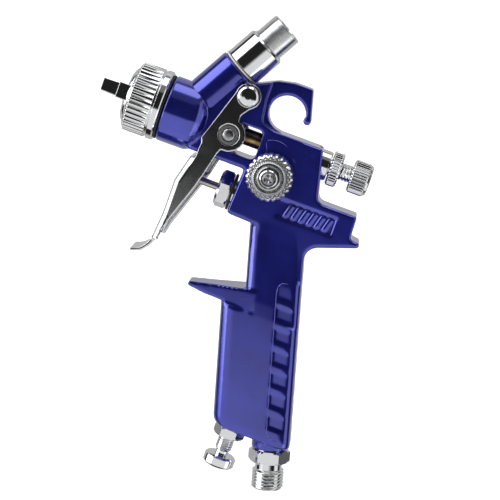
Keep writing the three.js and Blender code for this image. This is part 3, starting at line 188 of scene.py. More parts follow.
def bodyPaint():
    material, g = newMaterial("metallicBluePaint")
    cloud = g.speckle(55, 3)
    flake = g.speckle(5200, 1)
    mixed = g.blend(cloud.smooth(0.3, 0.7), paint["deep"], paint["light"])
    glint = flake.smooth(0.5, 0.75) * paint["glint"]
    mixed = g.blend(glint, mixed, paint["edge"])
    # painted highlight: outward edges, found by pointiness, are lightened toward the edge colour as if they catch
    # the light
    paintedEdgeHighlight = g.node("ShaderNodeNewGeometry", output="Pointiness").smooth(0.515, 0.6)
    mixed = g.blend(paintedEdgeHighlight * paint["paintedEdgeHighlight"], mixed, paint["edge"])
    peel = g.speckle(420, 2)
    dust = g.speckle(1900, 2)
    finishMaterial(
        g,
        Base_Color=mixed,
        Metallic=paint["metallic"],
        Roughness=paint["roughness"] + (cloud - 0.5) * 0.08 + flake * 0.02,
        Coat_Weight=1.0,
        Coat_Roughness=paint["coatRoughness"],
        Coat_IOR=paint["coatIndex"],
        Normal=g.bump(peel + dust * paint["dust"], paint["peel"], 0.0004),
    )
    return material


plate = {
    "bright": (0.86, 0.865, 0.875, 1),
    "dull": (0.62, 0.63, 0.65, 1),
    "film": 0.4,  # how far the dull patches go
    "roughness": 0.055,
    "wear": 0.05,  # strength of hairlines and pits
}


def chromePlate():
    material, g = newMaterial("brightChrome")
    cloud = g.speckle(90, 4)
    hairline = g.speckle(900, 3, (1, 1, 9))
    pits = g.speckle(2600, 2)
    film = cloud.smooth(0.48, 0.78) * plate["film"]
    finishMaterial(
        g,
        Base_Color=g.blend(film, plate["bright"], plate["dull"]),
        Metallic=1.0,
        Roughness=plate["roughness"] + cloud.smooth(0.4, 0.8) * 0.06 + hairline * 0.03,
        Normal=g.bump(hairline * 0.5 + pits.smooth(0.62, 0.8) * -0.6, plate["wear"], 0.0001),
    )
    return material


bareSteel = {"bright": (0.6, 0.6, 0.61, 1), "dull": (0.42, 0.42, 0.43, 1), "roughness": 0.2, "rings": 0.12}


def satinSteel():
    material, g = newMaterial("turnedSteel")
    rings = g.speckle(3200, 2, (6, 1, 1))
    cloud = g.speckle(140, 3)
    finishMaterial(
        g,
        Base_Color=g.blend(cloud.smooth(0.35, 0.7), bareSteel["bright"], bareSteel["dull"]),
        Metallic=1.0,
        Roughness=bareSteel["roughness"] + rings * 0.14,
        Normal=g.bump(rings, bareSteel["rings"], 0.0001),
    )
    return material


brass = {"bright": (0.62, 0.43, 0.17, 1), "tarnish": (0.3, 0.2, 0.08, 1), "roughness": 0.2, "rings": 0.15}


def turnedBrass():
    material, g = newMaterial("turnedBrass")
    rings = g.speckle(2600, 2, (7, 1, 1))
    tarnish = g.speckle(260, 4)
    finishMaterial(
        g,
        Base_Color=g.blend(tarnish.smooth(0.35, 0.75), brass["bright"], brass["tarnish"]),
        Metallic=1.0,
        Roughness=brass["roughness"] + tarnish * 0.2,
        Normal=g.bump(rings, brass["rings"], 0.0001),
    )
    return material


rubber = {"dark": (0.008, 0.008, 0.01, 1), "pale": (0.03, 0.03, 0.033, 1), "roughness": 0.45}


def blackRubber():
    material, g = newMaterial("blackRubber")
    grain = g.speckle(1500, 3)
    finishMaterial(
        g,
        Base_Color=g.blend(grain, rubber["dark"], rubber["pale"]),
        Roughness=rubber["roughness"] + grain * 0.25,
        Normal=g.bump(grain, 0.2, 0.0002),
    )
    return material


nylon = {"dark": (0.72, 0.7, 0.63, 1), "pale": (0.82, 0.8, 0.74, 1), "roughness": 0.42}


def milkyNylon():
    material, g = newMaterial("milkyNylon")
    cloud = g.speckle(300, 3)
    finishMaterial(
        g,
        Base_Color=g.blend(cloud, nylon["dark"], nylon["pale"]),
        Roughness=nylon["roughness"] + cloud * 0.15,
        Normal=g.bump(cloud, 0.1, 0.0002),
    )
    return material


sweep = {"dark": (0.9, 0.9, 0.9, 1), "pale": (0.93, 0.93, 0.93, 1), "roughness": 0.9, "glow": 0.55}


def paleFloor():
    material, g = newMaterial("paleFloor")
    shade = g.blend(g.speckle(6, 2), sweep["dark"], sweep["pale"])
    finishMaterial(
        g,
        Base_Color=shade,
        Roughness=sweep["roughness"],
        Emission_Color=shade,
        Emission_Strength=sweep["glow"],
    )
    return material


finishes = {
    "body_paint": bodyPaint(),
    "chrome": chromePlate(),
    "steel": satinSteel(),
    "brass": turnedBrass(),
    "seal": blackRubber(),
    "nylon": milkyNylon(),
}
slotOf = {s["node"]: s["material_slot"] for s in record["subparts"]}
bodyOf = {n: b for b, nodes in record["behaviour"]["bodies"].items() for n in nodes}
stage("materials made")


def newObject(name, mesh):
    made = bpy.data.objects.new(name, mesh)
    scene.collection.objects.link(made)
    return made


def meshOf(name, points, faces):  # points in millimetres
    mesh = bpy.data.meshes.new(name)
    mesh.from_pydata([Vector(p) * mm for p in points], [], faces)
    shell = bmesh.new()
    shell.from_mesh(mesh)
    bmesh.ops.remove_doubles(shell, verts=shell.verts, dist=1e-7)
    bmesh.ops.recalc_face_normals(shell, faces=shell.faces)
    shell.to_mesh(mesh)
    shell.free()
    mesh.shade_smooth()
    return mesh


def baked(made):  # the evaluated result as a plain mesh, its modifiers gone
    seen = made.evaluated_get(bpy.context.evaluated_depsgraph_get())
    mesh = bpy.data.meshes.new_from_object(seen)
    made.modifiers.clear()
    made.data = mesh
    return made


def standsFor(made, node):  # the piece rides and is finished as its CAD node
    slot = slotOf[node]
    made.data.materials.clear()
    made.data.materials.append(finishes[slot])
    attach(made, bodyOf[node])


def replaceNode(made, node):
    standsFor(made, node)
    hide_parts(node)


def lowHigh(node):  # a CAD node's box in millimetres
    low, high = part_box(node)
    return low / mm, high / mm


def point(mount):  # where a mount's axis runs, in millimetres, on the middle plane
    place = Vector(mounts[mount]["pos_m"]) / mm
    return Vector((place.x, 0, place.z))


def sides(axis):  # two directions square to an axis
    axis = Vector(axis).normalized()
    side = near if abs(axis.y) < 0.9 else along
    side = (side - axis * side.dot(axis)).normalized()
    return axis, side, axis.cross(side)


def softened(profile, soft, closed):  # every corner of a profile rounded by a short curve
    points = [Vector(p) for p in profile]
    done = []
    for i, here in enumerate(points):
        if not closed and i in (0, len(points) - 1):
            done.append(here)
            continue
        before = points[i - 1] - here
        after = points[(i + 1) % len(points)] - here
        reach = min(soft, before.length * 0.4, after.length * 0.4)
        straight = before.length and after.length and before.angle(-after) < 0.05
        if reach < 0.02 or straight:
            done.append(here)
            continue
        first = here + before.normalized() * reach
        last = here + after.normalized() * reach
        done.append(here + before.normalized() * reach * 1.2)
        for step in range(5):
            s = step / 4
            done.append(first * (1 - s) ** 2 + here * 2 * s * (1 - s) + last * s * s)
        done.append(here + after.normalized() * reach * 1.2)
    return done


def spread(first, last, steps):  # points between two profile points, ends left out
    return [tuple(a + (b - a) * i / steps for a, b in zip(first, last)) for i in range(1, steps)]


def turned(name, profile, origin, axis, count, soft, flats=None, twist=0.0):  # (radius, reach) pairs
    closed = profile[0][0] > 0 or profile[-1][0] > 0
    line = softened(profile, soft, closed)
    axis, side, third = sides(axis)
    origin = Vector(origin)
    points, rings = [], []
    for radius, reach in line:
        ring = []
        single = radius < 1e-6
        for k in range(1 if single else count):
            turn = 2 * math.pi * k / count
            r = radius
            if flats:
                r = min(r, flats / 2 / math.cos((turn % (math.pi / 3)) - math.pi / 6))
            turn += twist
            ring.append(len(points))
            spoke = side * math.cos(turn) + third * math.sin(turn)
            points.append(origin + axis * reach + spoke * r)
        rings.append(ring)
    faces = []
    pairs = list(zip(rings, rings[1:])) + ([(rings[-1], rings[0])] if closed else [])
    for a, b in pairs:
        for k in range(count):
            n = (k + 1) % count
            face = [a[k % len(a)], a[n % len(a)], b[n % len(b)], b[k % len(b)]]
            face = list(dict.fromkeys(face))
            if len(face) > 2:
                faces.append(face)
    mesh = meshOf(name, points, faces)
    if flats:
        mesh.set_sharp_from_angle(angle=0.35)
    return newObject(name, mesh)


def newTree(name, sockets):
    tree = bpy.data.node_groups.new(name, "GeometryNodeTree")
    tree.interface.new_socket("Geometry", in_out="INPUT", socket_type="NodeSocketGeometry")
    for title, kind in sockets.items():
        tree.interface.new_socket(title, in_out="INPUT", socket_type="NodeSocket" + kind)
    tree.interface.new_socket("Geometry", in_out="OUTPUT", socket_type="NodeSocketGeometry")
    graph = Graph(tree)
    start = tree.nodes.new("NodeGroupInput")
    return tree, graph, {s.name: Wire(graph, s) for s in start.outputs if s.name}


def ribTree():  # grooves along an axis, or a thread where they have a lead
    tree, g, given = newTree("ribsRoundAnAxis", {
        "Origin": "Vector", "Axis": "Vector", "Side": "Vector", "Count": "Float", "Lead": "Float",
        "Depth": "Float", "Land": "Float", "Start": "Float", "End": "Float", "Fade": "Float",
        "Inner Radius": "Float", "Material": "Material",
    })
    place = g.node("GeometryNodeInputPosition")
    offset = g.vector("SUBTRACT", place, given["Origin"])
    reach = g.vector("DOT_PRODUCT", offset, given["Axis"], output="Value")
    onAxis = g.vector("SCALE", given["Axis"], Scale=reach)
    flat = g.vector("SUBTRACT", offset, onAxis)
    radius = g.vector("LENGTH", flat, output="Value")
    third = g.vector("CROSS_PRODUCT", given["Axis"], given["Side"])
    across = g.vector("DOT_PRODUCT", flat, given["Side"], output="Value")
    rise = g.vector("DOT_PRODUCT", flat, third, output="Value")
    turn = rise.sum("ARCTAN2", rise, across) / (2 * math.pi)
    phase = (turn * given["Count"] + reach * given["Lead"]).fract()
    ridge = 1 - abs(phase * 2 - 1)
    cut = ((ridge - given["Land"]) / (1 - given["Land"])).clamped()
    band = ((reach - given["Start"]) / given["Fade"]).clamped()
    band = band * ((given["End"] - reach) / given["Fade"]).clamped()
    outside = radius.sum("GREATER_THAN", radius, given["Inner Radius"])
    amount = cut * band * outside * given["Depth"] * -1
    inward = g.vector("SCALE", g.vector("NORMALIZE", flat), Scale=amount)
    inputs = {"Geometry": given["Geometry"], "Offset": inward}
    shape = g.node("GeometryNodeSetPosition", None, inputs)
    inputs = {"Geometry": shape, "Material": given["Material"]}
    shape = g.node("GeometryNodeSetMaterial", None, inputs)
    g.node("NodeGroupOutput", None, {"Geometry": shape})
    return tree


ribs = ribTree()


def applyTree(made, tree, values):
    modifier = made.modifiers.new(tree.name, "NODES")
    modifier.node_group = tree
    names = {s.name: s.identifier for s in tree.interface.items_tree if s.in_out == "INPUT"}
    for key, value in values.items():
        modifier[names[key]] = value
    return baked(made)


def ribbed(made, origin, axis, count, depth, start, end, inner, land=0.0, pitch=None, fade=0.3):
    axis, side = sides(axis)[:2]
    return applyTree(made, ribs, {
        "Origin": tuple(Vector(origin) * mm), "Axis": tuple(axis), "Side": tuple(side),
        "Count": float(count), "Lead": 1 / (pitch * mm) if pitch else 0.0,
        "Depth": depth * mm, "Land": land, "Start": start * mm, "End": end * mm, "Fade": fade * mm,
        "Inner Radius": inner * mm, "Material": finishes["chrome"],
    })


def rounded(corners, steps):  # corners as (x, z) or (x, z, radius)
    done = []
    for i, corner in enumerate(corners):
        here = Vector(corner[:2])
        radius = corner[2] if len(corner) > 2 else 0
        before = (Vector(corners[i - 1][:2]) - here).normalized()
        after = (Vector(corners[(i + 1) % len(corners)][:2]) - here).normalized()
        if not radius:
            done.append(here)
            continue
        half = before.angle(after) / 2
        reach = radius / math.tan(half)
        first, last = here + before * reach, here + after * reach
        centre = here + (before + after).normalized() * radius / math.sin(half)
        for k in range(steps + 1):
            s = k / steps
            spoke = (first - centre) * (1 - s) + (last - centre) * s
            done.append(centre + spoke.normalized() * radius)
    return done


def slab(name, outline, low, high):  # an (x, z) outline from y low to y high
    count = len(outline)
    points = [(p.x, y, p.y) for y in (low, high) for p in outline]
    faces = [[k, (k + 1) % count, count + (k + 1) % count, count + k] for k in range(count)]
    faces += [list(range(count)), list(range(count, 2 * count))]
    return newObject(name, meshOf(name, points, faces))


def carve(made, *cutters):
    for cutter in cutters:
        modifier = made.modifiers.new("cut", "BOOLEAN")
        modifier.operation = "DIFFERENCE"
        modifier.solver = "EXACT"
        modifier.object = cutter
    baked(made)
    for cutter in cutters:
        bpy.data.objects.remove(cutter)
    return made


mostTriangles = 190000  # in one piece


def fused(name, node, voxel, smoothing):  # one soft skin over a CAD node
    shell = bmesh.new()
    shell.from_mesh(frame["nodes"][node].data)
    bmesh.ops.remove_doubles(shell, verts=shell.verts, dist=1e-6)
    mesh = bpy.data.meshes.new(name)
    shell.to_mesh(mesh)
    shell.free()
    made = newObject(name, mesh)
    remesh = made.modifiers.new("skin", "REMESH")
    remesh.mode = "VOXEL"
    remesh.voxel_size = voxel * mm
    relax = made.modifiers.new("relax", "SMOOTH")
    relax.factor = 0.5
    relax.iterations = smoothing
    baked(made)
    triangles = sum(len(p.vertices) - 2 for p in made.data.polygons)
    if triangles > mostTriangles:
        thin = made.modifiers.new("thin", "DECIMATE")
        thin.ratio = mostTriangles / triangles
        baked(made)
    made.data.shade_smooth()
    return made


stage("tools ready")


casting = {
    "voxel": 0.42,
    "smoothing": 7,
    "headRadius": 13.1,
    "headGap": 0.6,  # from the gasket to where the head is trued
    "headBack": -33.8,
    "tubeRadius": 8.85,
    "tubeSpan": (-42, -24.2),  # from the cup's seat down the tube
    "closeness": (0.12, 0.35),  # all of the move up to the first distance, none past the second
    "fade": 0.6,  # at the ends of a trued length
}


def softStep(value, low, high):
    s = np.clip((value - low) / (high - low), 0, 1)
    return s * s * (3 - 2 * s)


def trueRound(co, origin, axis, radius, start, end):  # points near a cylinder go onto it
    axis = np.array(axis)
    offset = co - np.array(origin)
    reach = offset @ axis
    flat = offset - np.outer(reach, axis)
    distance = np.linalg.norm(flat, axis=1)
    close = 1 - softStep(np.abs(distance - radius), *casting["closeness"])
    fade = casting["fade"]
    band = softStep(reach, start, start + fade) * (1 - softStep(reach, end - fade, end))
    move = (radius - distance) * close * band
    co += flat / np.maximum(distance, 1e-6)[:, None] * move[:, None]


def castBody():
    made = fused("castBody", "gun_body", casting["voxel"], casting["smoothing"])
    co = np.empty(len(made.data.vertices) * 3)
    made.data.vertices.foreach_get("co", co)
    co = co.reshape(-1, 3) / mm
    low, high = lowHigh("head_gasket")
    origin = (0, 0, (low.z + high.z) / 2)
    front = high.x + casting["headGap"]
    trueRound(co, origin, (1, 0, 0), casting["headRadius"], front, casting["headBack"])
    axis = Vector(mounts["cup_face"]["axis"])
    trueRound(co, point("cup_face"), axis, casting["tubeRadius"], *casting["tubeSpan"])
    made.data.vertices.foreach_set("co", (co * mm).ravel())
    made.data.update()
    replaceNode(made, "gun_body")


castBody()
stage("body cast")

lines = {"needleHeight": -13.9, "cupFoot": -36.6, "inletLength": 16.3}
needleLine = Vector((0, 0, lines["needleHeight"]))  # the needle runs along X through here
cupLine = Vector((lines["cupFoot"], 0, lines["needleHeight"]))
cupAxis = Vector(mounts["cup_face"]["axis"])
inletAxis = Vector(mounts["inlet_face"]["axis"])
inletFoot = point("inlet_face") - inletAxis * lines["inletLength"]


def joined(name, *pieces):
    shell = bmesh.new()
    for piece in pieces:
        shell.from_mesh(piece.data)
        bpy.data.objects.remove(piece)
    mesh = bpy.data.meshes.new(name)
    shell.to_mesh(mesh)
    shell.free()
    return newObject(name, mesh)


def bevelled(made, width):
    modifier = made.modifiers.new("edges", "BEVEL")
    modifier.width = width * mm
    modifier.segments = 3
    modifier.limit_method = "ANGLE"
    return baked(made)


def threaded(radius, start, end, step=0.14):  # rings close enough to carry a thread
    first, last = (radius, start), (radius, end)
    return [first, *spread(first, last, round((end - start) / step)), last]


capRing = {
    "radius": 13.9,
    "front": -59.3,
    "back": -46.3,
    "rim": 3.3,
    "lip": 11.3,
    "bore": 11.9,
    "grooves": 40,
    "depth": 0.75,
    "floor": 12.6,  # nothing inside this radius is grooved
    "land": 0.42,  # share of the pitch left between two grooves
}


def makeCapRing():
    r, front, back = capRing["radius"], capRing["front"], capRing["back"]
    lip, bore = capRing["lip"], capRing["bore"]
    rim = back - capRing["rim"]
    profile = [
        (lip, front), (r - 1.5, front), (r - 0.1, front + 0.9), (r - 0.1, front + 1.3),
        (r - 0.1, rim - 0.6), (r - 0.1, rim - 0.3), (r - 0.7, rim), (r - 0.7, rim + 0.4), (r, rim + 0.7),
        (r, back - 0.5), (r - 0.4, back), (bore, back), (bore, front + 1.5), (lip, front + 1.5),
    ]
    made = turned("capRing", profile, needleLine, along, 480, 0.12)
    made = ribbed(
        made, needleLine, along, capRing["grooves"], capRing["depth"],
        front + 0.3, rim - 0.3, capRing["floor"], capRing["land"], fade=0.5,
    )
    replaceNode(made, "air_cap_ring")


airCap = {
    "rim": 11.6,
    "neck": 9.9,
    "back": -55.5,
    "front": -62,
    "hole": 2.3,
    "hornFront": -70.6,
    "hornHeight": 5.6,
    "hornSpan": (6.6, 10.3),  # across the gun, from the needle
    "hornTurn": 6.5,  # degrees about the needle
    "hornDraft": 0.25,
    "footEnds": (-64.3, -59.6),
    "footHeight": 6.3,
    "footSpan": (6, 10.55),
    "ports": (-69, -66.7),
    "portRadius": 0.7,
    "portDepth": 5,
}


def hornOutline(x0, x1, height, draft):
    z, half = needleLine.z, height / 2
    corners = [(x0, z - half + draft, 0.5), (x1, z - half), (x1, z + half), (x0, z + half - draft, 0.5)]
    return rounded(corners, 5)


def makeHorn(side):
    low, high = sorted(side * y for y in airCap["hornSpan"])
    outline = hornOutline(airCap["hornFront"], airCap["front"], airCap["hornHeight"], airCap["hornDraft"])
    arm = bevelled(slab("hornArm", outline, low, high), 0.35)
    way = Vector((0.45, -side, 0)).normalized()
    r, depth = airCap["portRadius"], airCap["portDepth"]
    for x in airCap["ports"]:
        start = Vector((x, side * 8.8, needleLine.z))
        carve(arm, turned("bore", [(0, 0), (r, 0), (r, depth), (0, depth)], start, way, 24, 0))
    low, high = sorted(side * y for y in airCap["footSpan"])
    foot = slab("hornFoot", hornOutline(*airCap["footEnds"], airCap["footHeight"], 0), low, high)
    horn = joined("horn", arm, bevelled(foot, 0.3))
    horn.data.shade_flat()
    tilt = Matrix.Rotation(-math.radians(airCap["hornTurn"]), 4, "X")
    axis = Matrix.Translation(needleLine * mm)
    horn.data.transform(axis @ tilt @ axis.inverted())
    return horn


def makeAirCap():
    rim, neck, back, front = airCap["rim"], airCap["neck"], airCap["back"], airCap["front"]
    dome = [
        (rim, back), (rim, back - 2), (rim - 0.6, back - 2), (rim - 0.6, -59.6),
        (10.3, -60.5), (8.6, -61.2), (5.5, -61.7), (airCap["hole"], front),
        (airCap["hole"], -60.9), (6, -60.4), (9, -59.6), (neck, -58.6), (neck, back),
    ]
    cap = turned("capDome", dome, needleLine, along, 180, 0.3)
    replaceNode(joined("airCap", cap, makeHorn(-1), makeHorn(1)), "air_cap")


def ringOf(name, node, inner, outer, start, end, origin, axis, soft=0.12):
    profile = [(inner, start), (outer, start), (outer, end), (inner, end)]
    replaceNode(turned(name, profile, origin, axis, 96, soft), node)


adapter = {
    "bore": 4.2,
    "tail": 6,
    "start": 20,
    "collar": 28.8,
    "radius": 8.2,
    "shoulder": 41.5,
    "end": 51.3,
    "threadRadius": 7.0,
    "threadDepth": 0.58,
    "pitch": 1.0,
}


def makeAdapter():
    shoulder, end, thread = adapter["shoulder"], adapter["end"], adapter["threadRadius"]
    r, bore, tail, collar = adapter["radius"], adapter["bore"], adapter["tail"], adapter["collar"]
    profile = [
        (bore, adapter["start"]), (tail, adapter["start"]), (tail, collar), (r, collar),
        (r, shoulder - 0.9), (r - 0.9, shoulder), (6.4, shoulder),
        *threaded(thread, shoulder + 0.25, end - 0.5), (thread - 0.5, end), (4.8, end), (bore, end - 0.6),
    ]
    made = turned("cupAdapter", profile, cupLine, cupAxis, 144, 0.16)
    made = ribbed(
        made, cupLine, cupAxis, 1, adapter["threadDepth"],
        shoulder + 0.2, end + 0.3, 6.6, 0.12, adapter["pitch"],
    )
    replaceNode(made, "cup_adapter")


inlet = {
    "flats": 14.4,
    "gap": 0.3,  # between the hexagon and the handle
    "hex": 5.0,
    "tail": -9,
    "bore": 4.3,
    "neck": 5.3,
    "threadRadius": 6.38,
    "threadDepth": 0.66,
    "pitch": 1.337,
}


def makeInlet():
    gap, bore, neck, tail = inlet["gap"], inlet["bore"], inlet["neck"], inlet["tail"]
    hexEnd = gap + inlet["hex"]
    r, start, end = inlet["threadRadius"], hexEnd + 3, lines["inletLength"]
    profile = [
        (bore, tail), (neck + 0.3, tail), (neck + 0.3, hexEnd), (neck, hexEnd + 0.4), (neck, start),
        *threaded(r, start + 0.3, end - 0.7), (r - 0.9, end), (4.8, end), (bore, end - 0.6),
    ]
    core = turned("inletCore", profile, inletFoot, inletAxis, 144, 0.14)
    core = ribbed(
        core, inletFoot, inletAxis, 1, inlet["threadDepth"], start, end + 0.3, 5.9, 0.15, inlet["pitch"]
    )
    corner = inlet["flats"] / math.sqrt(3)
    nut = [
        (4.7, gap), (corner - 0.9, gap), (corner, 0.95),
        (corner, hexEnd - 0.65), (corner - 0.9, hexEnd), (4.7, hexEnd),
    ]
    body = turned("inletHex", nut, inletFoot, inletAxis, 144, 0.1, inlet["flats"], math.pi / 6)
    replaceNode(joined("inletNipple", core, body), "inlet_nipple")


lever = {"voxel": 0.27, "smoothing": 5}


def makeTrigger():
    made = fused("triggerLever", "trigger", lever["voxel"], lever["smoothing"])
    replaceNode(made, "trigger")


bar = {
    "line": (-18.3, 0, -14.6),
    "radius": 3.2,
    "neck": 2.35,
    "half": 8.7,  # half length between the clips
    "end": 11.3,
    "way": 1.9,  # hole for the needle
    "clip": 3.7,
}


def makeBar():
    line = Vector(bar["line"])
    r, neck, half, end, way = bar["radius"], bar["neck"], bar["half"], bar["end"], bar["way"]
    nose = [(neck, end - 0.7), (neck - 0.4, end - 0.35), (1.2, end - 0.08), (0, end)]
    profile = [(radius, -reach) for radius, reach in reversed(nose)]
    profile += [(neck, -half), (r, -half), (r, half), (neck, half), *nose]
    made = turned("triggerBar", profile, line, near, 96, 0.12)
    cutter = [(0, -5), (way, -5), (way, 5), (0, 5)]
    carve(made, turned("way", cutter, needleLine + along * line.x, along, 48, 0))
    replaceNode(made, "trigger_bar")
    for side, node in ((-1, "bar_clip_near"), (1, "bar_clip_far")):
        ringOf("barClip", node, 2.6, bar["clip"], 10.1, 10.6, line, Vector((0, side, 0)), 0.08)


pivot = {
    "line": (-16.1, 0, 1.8),
    "head": 4.2,
    "neck": 11.1,
    "top": 13.5,
    "stud": 2.6,
    "bore": 1.9,
    "screw": 1.6,
}


def makePivot():
    line = Vector(pivot["line"])
    head, neck, stud, bore, screw = (pivot[k] for k in ("head", "neck", "stud", "bore", "screw"))
    dome = [
        (head, neck), (head, neck + 0.6), (head - 0.25, 12.3), (3.3, 12.9), (2.4, 13.25), (1.2, 13.45),
        (0, pivot["top"]),
    ]
    core = [(0, -1.2), (screw, -1.2), (screw, neck), *dome]
    replaceNode(turned("pivotScrew", core, line, near, 96, 0.1), "pivot_screw")
    sleeve = [(bore, -10.8), (stud, -10.8), (stud, neck), *dome, (0, 2.8), (bore, 1.8)]
    replaceNode(turned("pivotStud", sleeve, line, -near, 96, 0.1), "pivot_stud")


needle = {
    "tip": -61.2,
    "cone": -54.4,
    "radius": 1.25,
    "end": 8.6,
    "sleeve": 3.3,
    "groove": 3.0,
    "back": 1.4,  # of the sleeve
}


def makeNeedle():
    r, s, groove, back = needle["radius"], needle["sleeve"], needle["groove"], needle["back"]
    tip, end = needle["tip"], needle["end"]
    profile = [(0, tip), (0.4, tip), (r, needle["cone"]), (r, end - 0.4), (0.85, end), (0, end)]
    replaceNode(turned("needleRod", profile, needleLine, along, 64, 0.08), "needle")
    sleeve = [
        (1.5, -14.8), (s - 0.5, -14.8), (s, -14.3), (s, -13.6), (groove, -13.4), (groove, -12.9), (s, -12.7),
        (s, back), (1.5, back),
    ]
    replaceNode(turned("needleSleeve", sleeve, needleLine, along, 96, 0.08), "needle_sleeve")


valve = {
    "height": -36.1,
    "flats": 13.4,
    "turn": -0.363,  # radians, of the nut
    "front": -15.9,
    "shoulder": -10.8,
    "stem": 1.5,
    "head": 4.1,
}


def makeValve():
    line = Vector((0, 0, valve["height"]))
    corner, front, shoulder = valve["flats"] / math.sqrt(3), valve["front"], valve["shoulder"]
    nut = [
        (1.75, front), (corner - 1.6, front), (corner, front + 1), (corner, shoulder - 0.8),
        (corner - 0.9, shoulder), (4.9, shoulder), (4.9, -4), (1.75, -4),
    ]
    made = turned("valveNut", nut, line, along, 144, 0.1, valve["flats"], valve["turn"])
    replaceNode(made, "valve_nut")
    stem, head = valve["stem"], valve["head"]
    profile = [
        (0, -29.6), (stem - 0.4, -29.6), (stem, -29.1), (stem, 2),
        (head - 1, 2), (head, 3), (head, 5), (0, 5),
    ]
    replaceNode(turned("valveStem", profile, line, along, 64, 0.1), "valve_stem")
    ringOf("valveWasher", "valve_washer", 5.2, 7.3, -10.5, -9.6, line, along, 0.15)


dial = {
    "line": (2, 0, -24.5),
    "radius": 9.05,
    "back": 9.9,
    "rim": 4.0,
    "lobes": 24,
    "crown": 6.7,
    "hub": 3.5,
    "bore": 2.5,
    "slot": (1.45, 0.26),  # half length and half width of the screw's cross
}


def makeDial():
    line = Vector(dial["line"])
    back, r, crown, hub, bore = dial["back"], dial["radius"], dial["crown"], dial["hub"], dial["bore"]
    front = back + dial["rim"]
    seat = front + 3.9
    profile = [
        (bore, back), (r - 0.7, back), (r, back + 0.7), (r, front - 0.9), (r - 0.9, front),
        *spread((r - 0.9, front), (crown + 0.5, front), 3), (crown + 0.4, front - 0.25),
        (crown, front - 0.25), (crown, front + 1.3), (crown - 0.5, front + 1.8),
        *spread((crown - 0.5, front + 1.8), (4.6, front + 1.8), 4), (4.6, front + 1.8),
        (4.2, front + 1.2), (hub, front + 1.2), (hub, seat), (hub - 0.5, seat + 0.5), (bore, seat + 0.5),
    ]
    made = turned("patternDial", profile, line, near, 384, 0.12)
    made = ribbed(made, line, near, dial["lobes"], 0.6, back - 1, front + 0.5, crown + 0.8, 0.3, fade=0.4)
    made = ribbed(made, line, near, 2 * dial["lobes"], 0.5, front, front + 2.4, 5.3, 0.1, fade=0.2)
    replaceNode(made, "pattern_dial")
    top = seat + 1.4
    head = [(2.3, seat), (2.3, seat + 0.7), (1.9, seat + 1.25), (0, top)]
    screw = turned("dialScrew", [(0, seat - 5), (1, seat - 5), (1, seat), *head], line, near, 64, 0.1)
    corners = ((-1, -1), (1, -1), (1, 1), (-1, 1))
    for w, h in (dial["slot"], dial["slot"][::-1]):
        cross = [Vector((line.x + i * w, line.z + j * h)) for i, j in corners]
        carve(screw, slab("slot", cross, -top - 1, 0.7 - top))
    replaceNode(screw, "dial_screw")


fluid = {
    "bore": 3.8,
    "housing": 5.9,
    "housingEnds": (16.4, 22.1),
    "lock": 6.95,
    "lockEnds": (22.4, 26.7),
    "knob": 6.65,
    "knobEnds": (31.1, 38.8),
    "knurls": 34,
    "depth": 0.5,
    "screw": 3.5,
    "pitch": 1.25,
}


def knurled(made, radius, start, end):
    return ribbed(
        made, needleLine, along, fluid["knurls"], fluid["depth"], start, end, radius - 0.6, 0.15, fade=0.4
    )


def makeFluidControl():
    bore, r, (start, end) = fluid["bore"], fluid["housing"], fluid["housingEnds"]
    housing = [(bore, start), (r, start), (r, end - 0.5), (r - 0.5, end), (bore, end)]
    replaceNode(turned("fluidHousing", housing, needleLine, along, 128, 0.15), "fluid_housing")
    r, (start, end) = fluid["lock"], fluid["lockEnds"]
    lock = [
        (bore, start), (r - 0.7, start), (r, start + 0.7), (r, start + 1),
        (r, end - 1), (r, end - 0.7), (r - 0.7, end), (bore, end),
    ]
    made = turned("lockRing", lock, needleLine, along, 480, 0.1)
    replaceNode(knurled(made, r, start + 0.5, end - 0.5), "lock_ring")
    r, s, (start, end) = fluid["knob"], fluid["screw"], fluid["knobEnds"]
    knob = [
        (0, 15.7), (s - 0.35, 15.7), (s - 0.35, 23.4), *threaded(s, 23.6, 30.6), (s - 0.4, start),
        (r - 0.8, start), (r, start + 0.7), (r, start + 1), (r, end - 1.8), (r, end - 1.5),
        (r - 0.5, end - 1), (r - 0.7, end - 0.4), (r - 1.3, end),
        (2.6, end), (2.2, end - 0.4), (0, end - 0.4),
    ]
    made = knurled(turned("fluidKnob", knob, needleLine, along, 480, 0.1), r, start + 0.4, end - 1.2)
    made = ribbed(made, needleLine, along, 1, 0.4, 23.5, 30.9, s - 0.3, 0.1, fluid["pitch"])
    replaceNode(made, "fluid_knob")


regulator = {
    "foot": -124.4,
    "gap": 0.3,
    "bore": 3.7,
    "nut": 6.3,
    "nutEnd": 4.2,
    "screw": 3.4,
    "threadEnds": (3.1, 9.5),
    "neck": 2.6,
    "disc": 6.3,
    "discEnds": (12.1, 16.7),
    "pitch": 1.0,
}


def makeRegulator():
    at = Vector(joints["regulator_turn"]["pos_m"]) / mm
    line = Vector((at.x, 0, regulator["foot"]))
    down = -up
    corner, gap, bore, tall = (regulator[k] for k in ("nut", "gap", "bore", "nutEnd"))
    nut = [
        (bore, gap), (corner - 0.6, gap), (corner, gap + 0.6),
        (corner, tall - 0.6), (corner - 0.7, tall), (bore, tall),
    ]
    flats = corner * math.sqrt(3)
    replaceNode(turned("regulatorNut", nut, line, down, 144, 0.1, flats, math.pi / 6), "regulator_nut")
    r, neck, d, (start, end) = (regulator[k] for k in ("screw", "neck", "disc", "discEnds"))
    first, last = regulator["threadEnds"]
    screw = [
        (0, -7.6), (r - 0.45, -7.6), (r - 0.45, first - 0.2), *threaded(r, first, last),
        (neck, last + 0.7), (neck, start), (d - 0.8, start), (d, start + 0.7), (d, end - 0.9),
        (d - 0.9, end), (0, end),
    ]
    made = turned("regulatorScrew", screw, line, down, 144, 0.14)
    made = ribbed(made, line, down, 1, 0.45, first - 0.1, last + 0.3, r - 0.35, 0.12, regulator["pitch"])
    replaceNode(made, "regulator_screw")


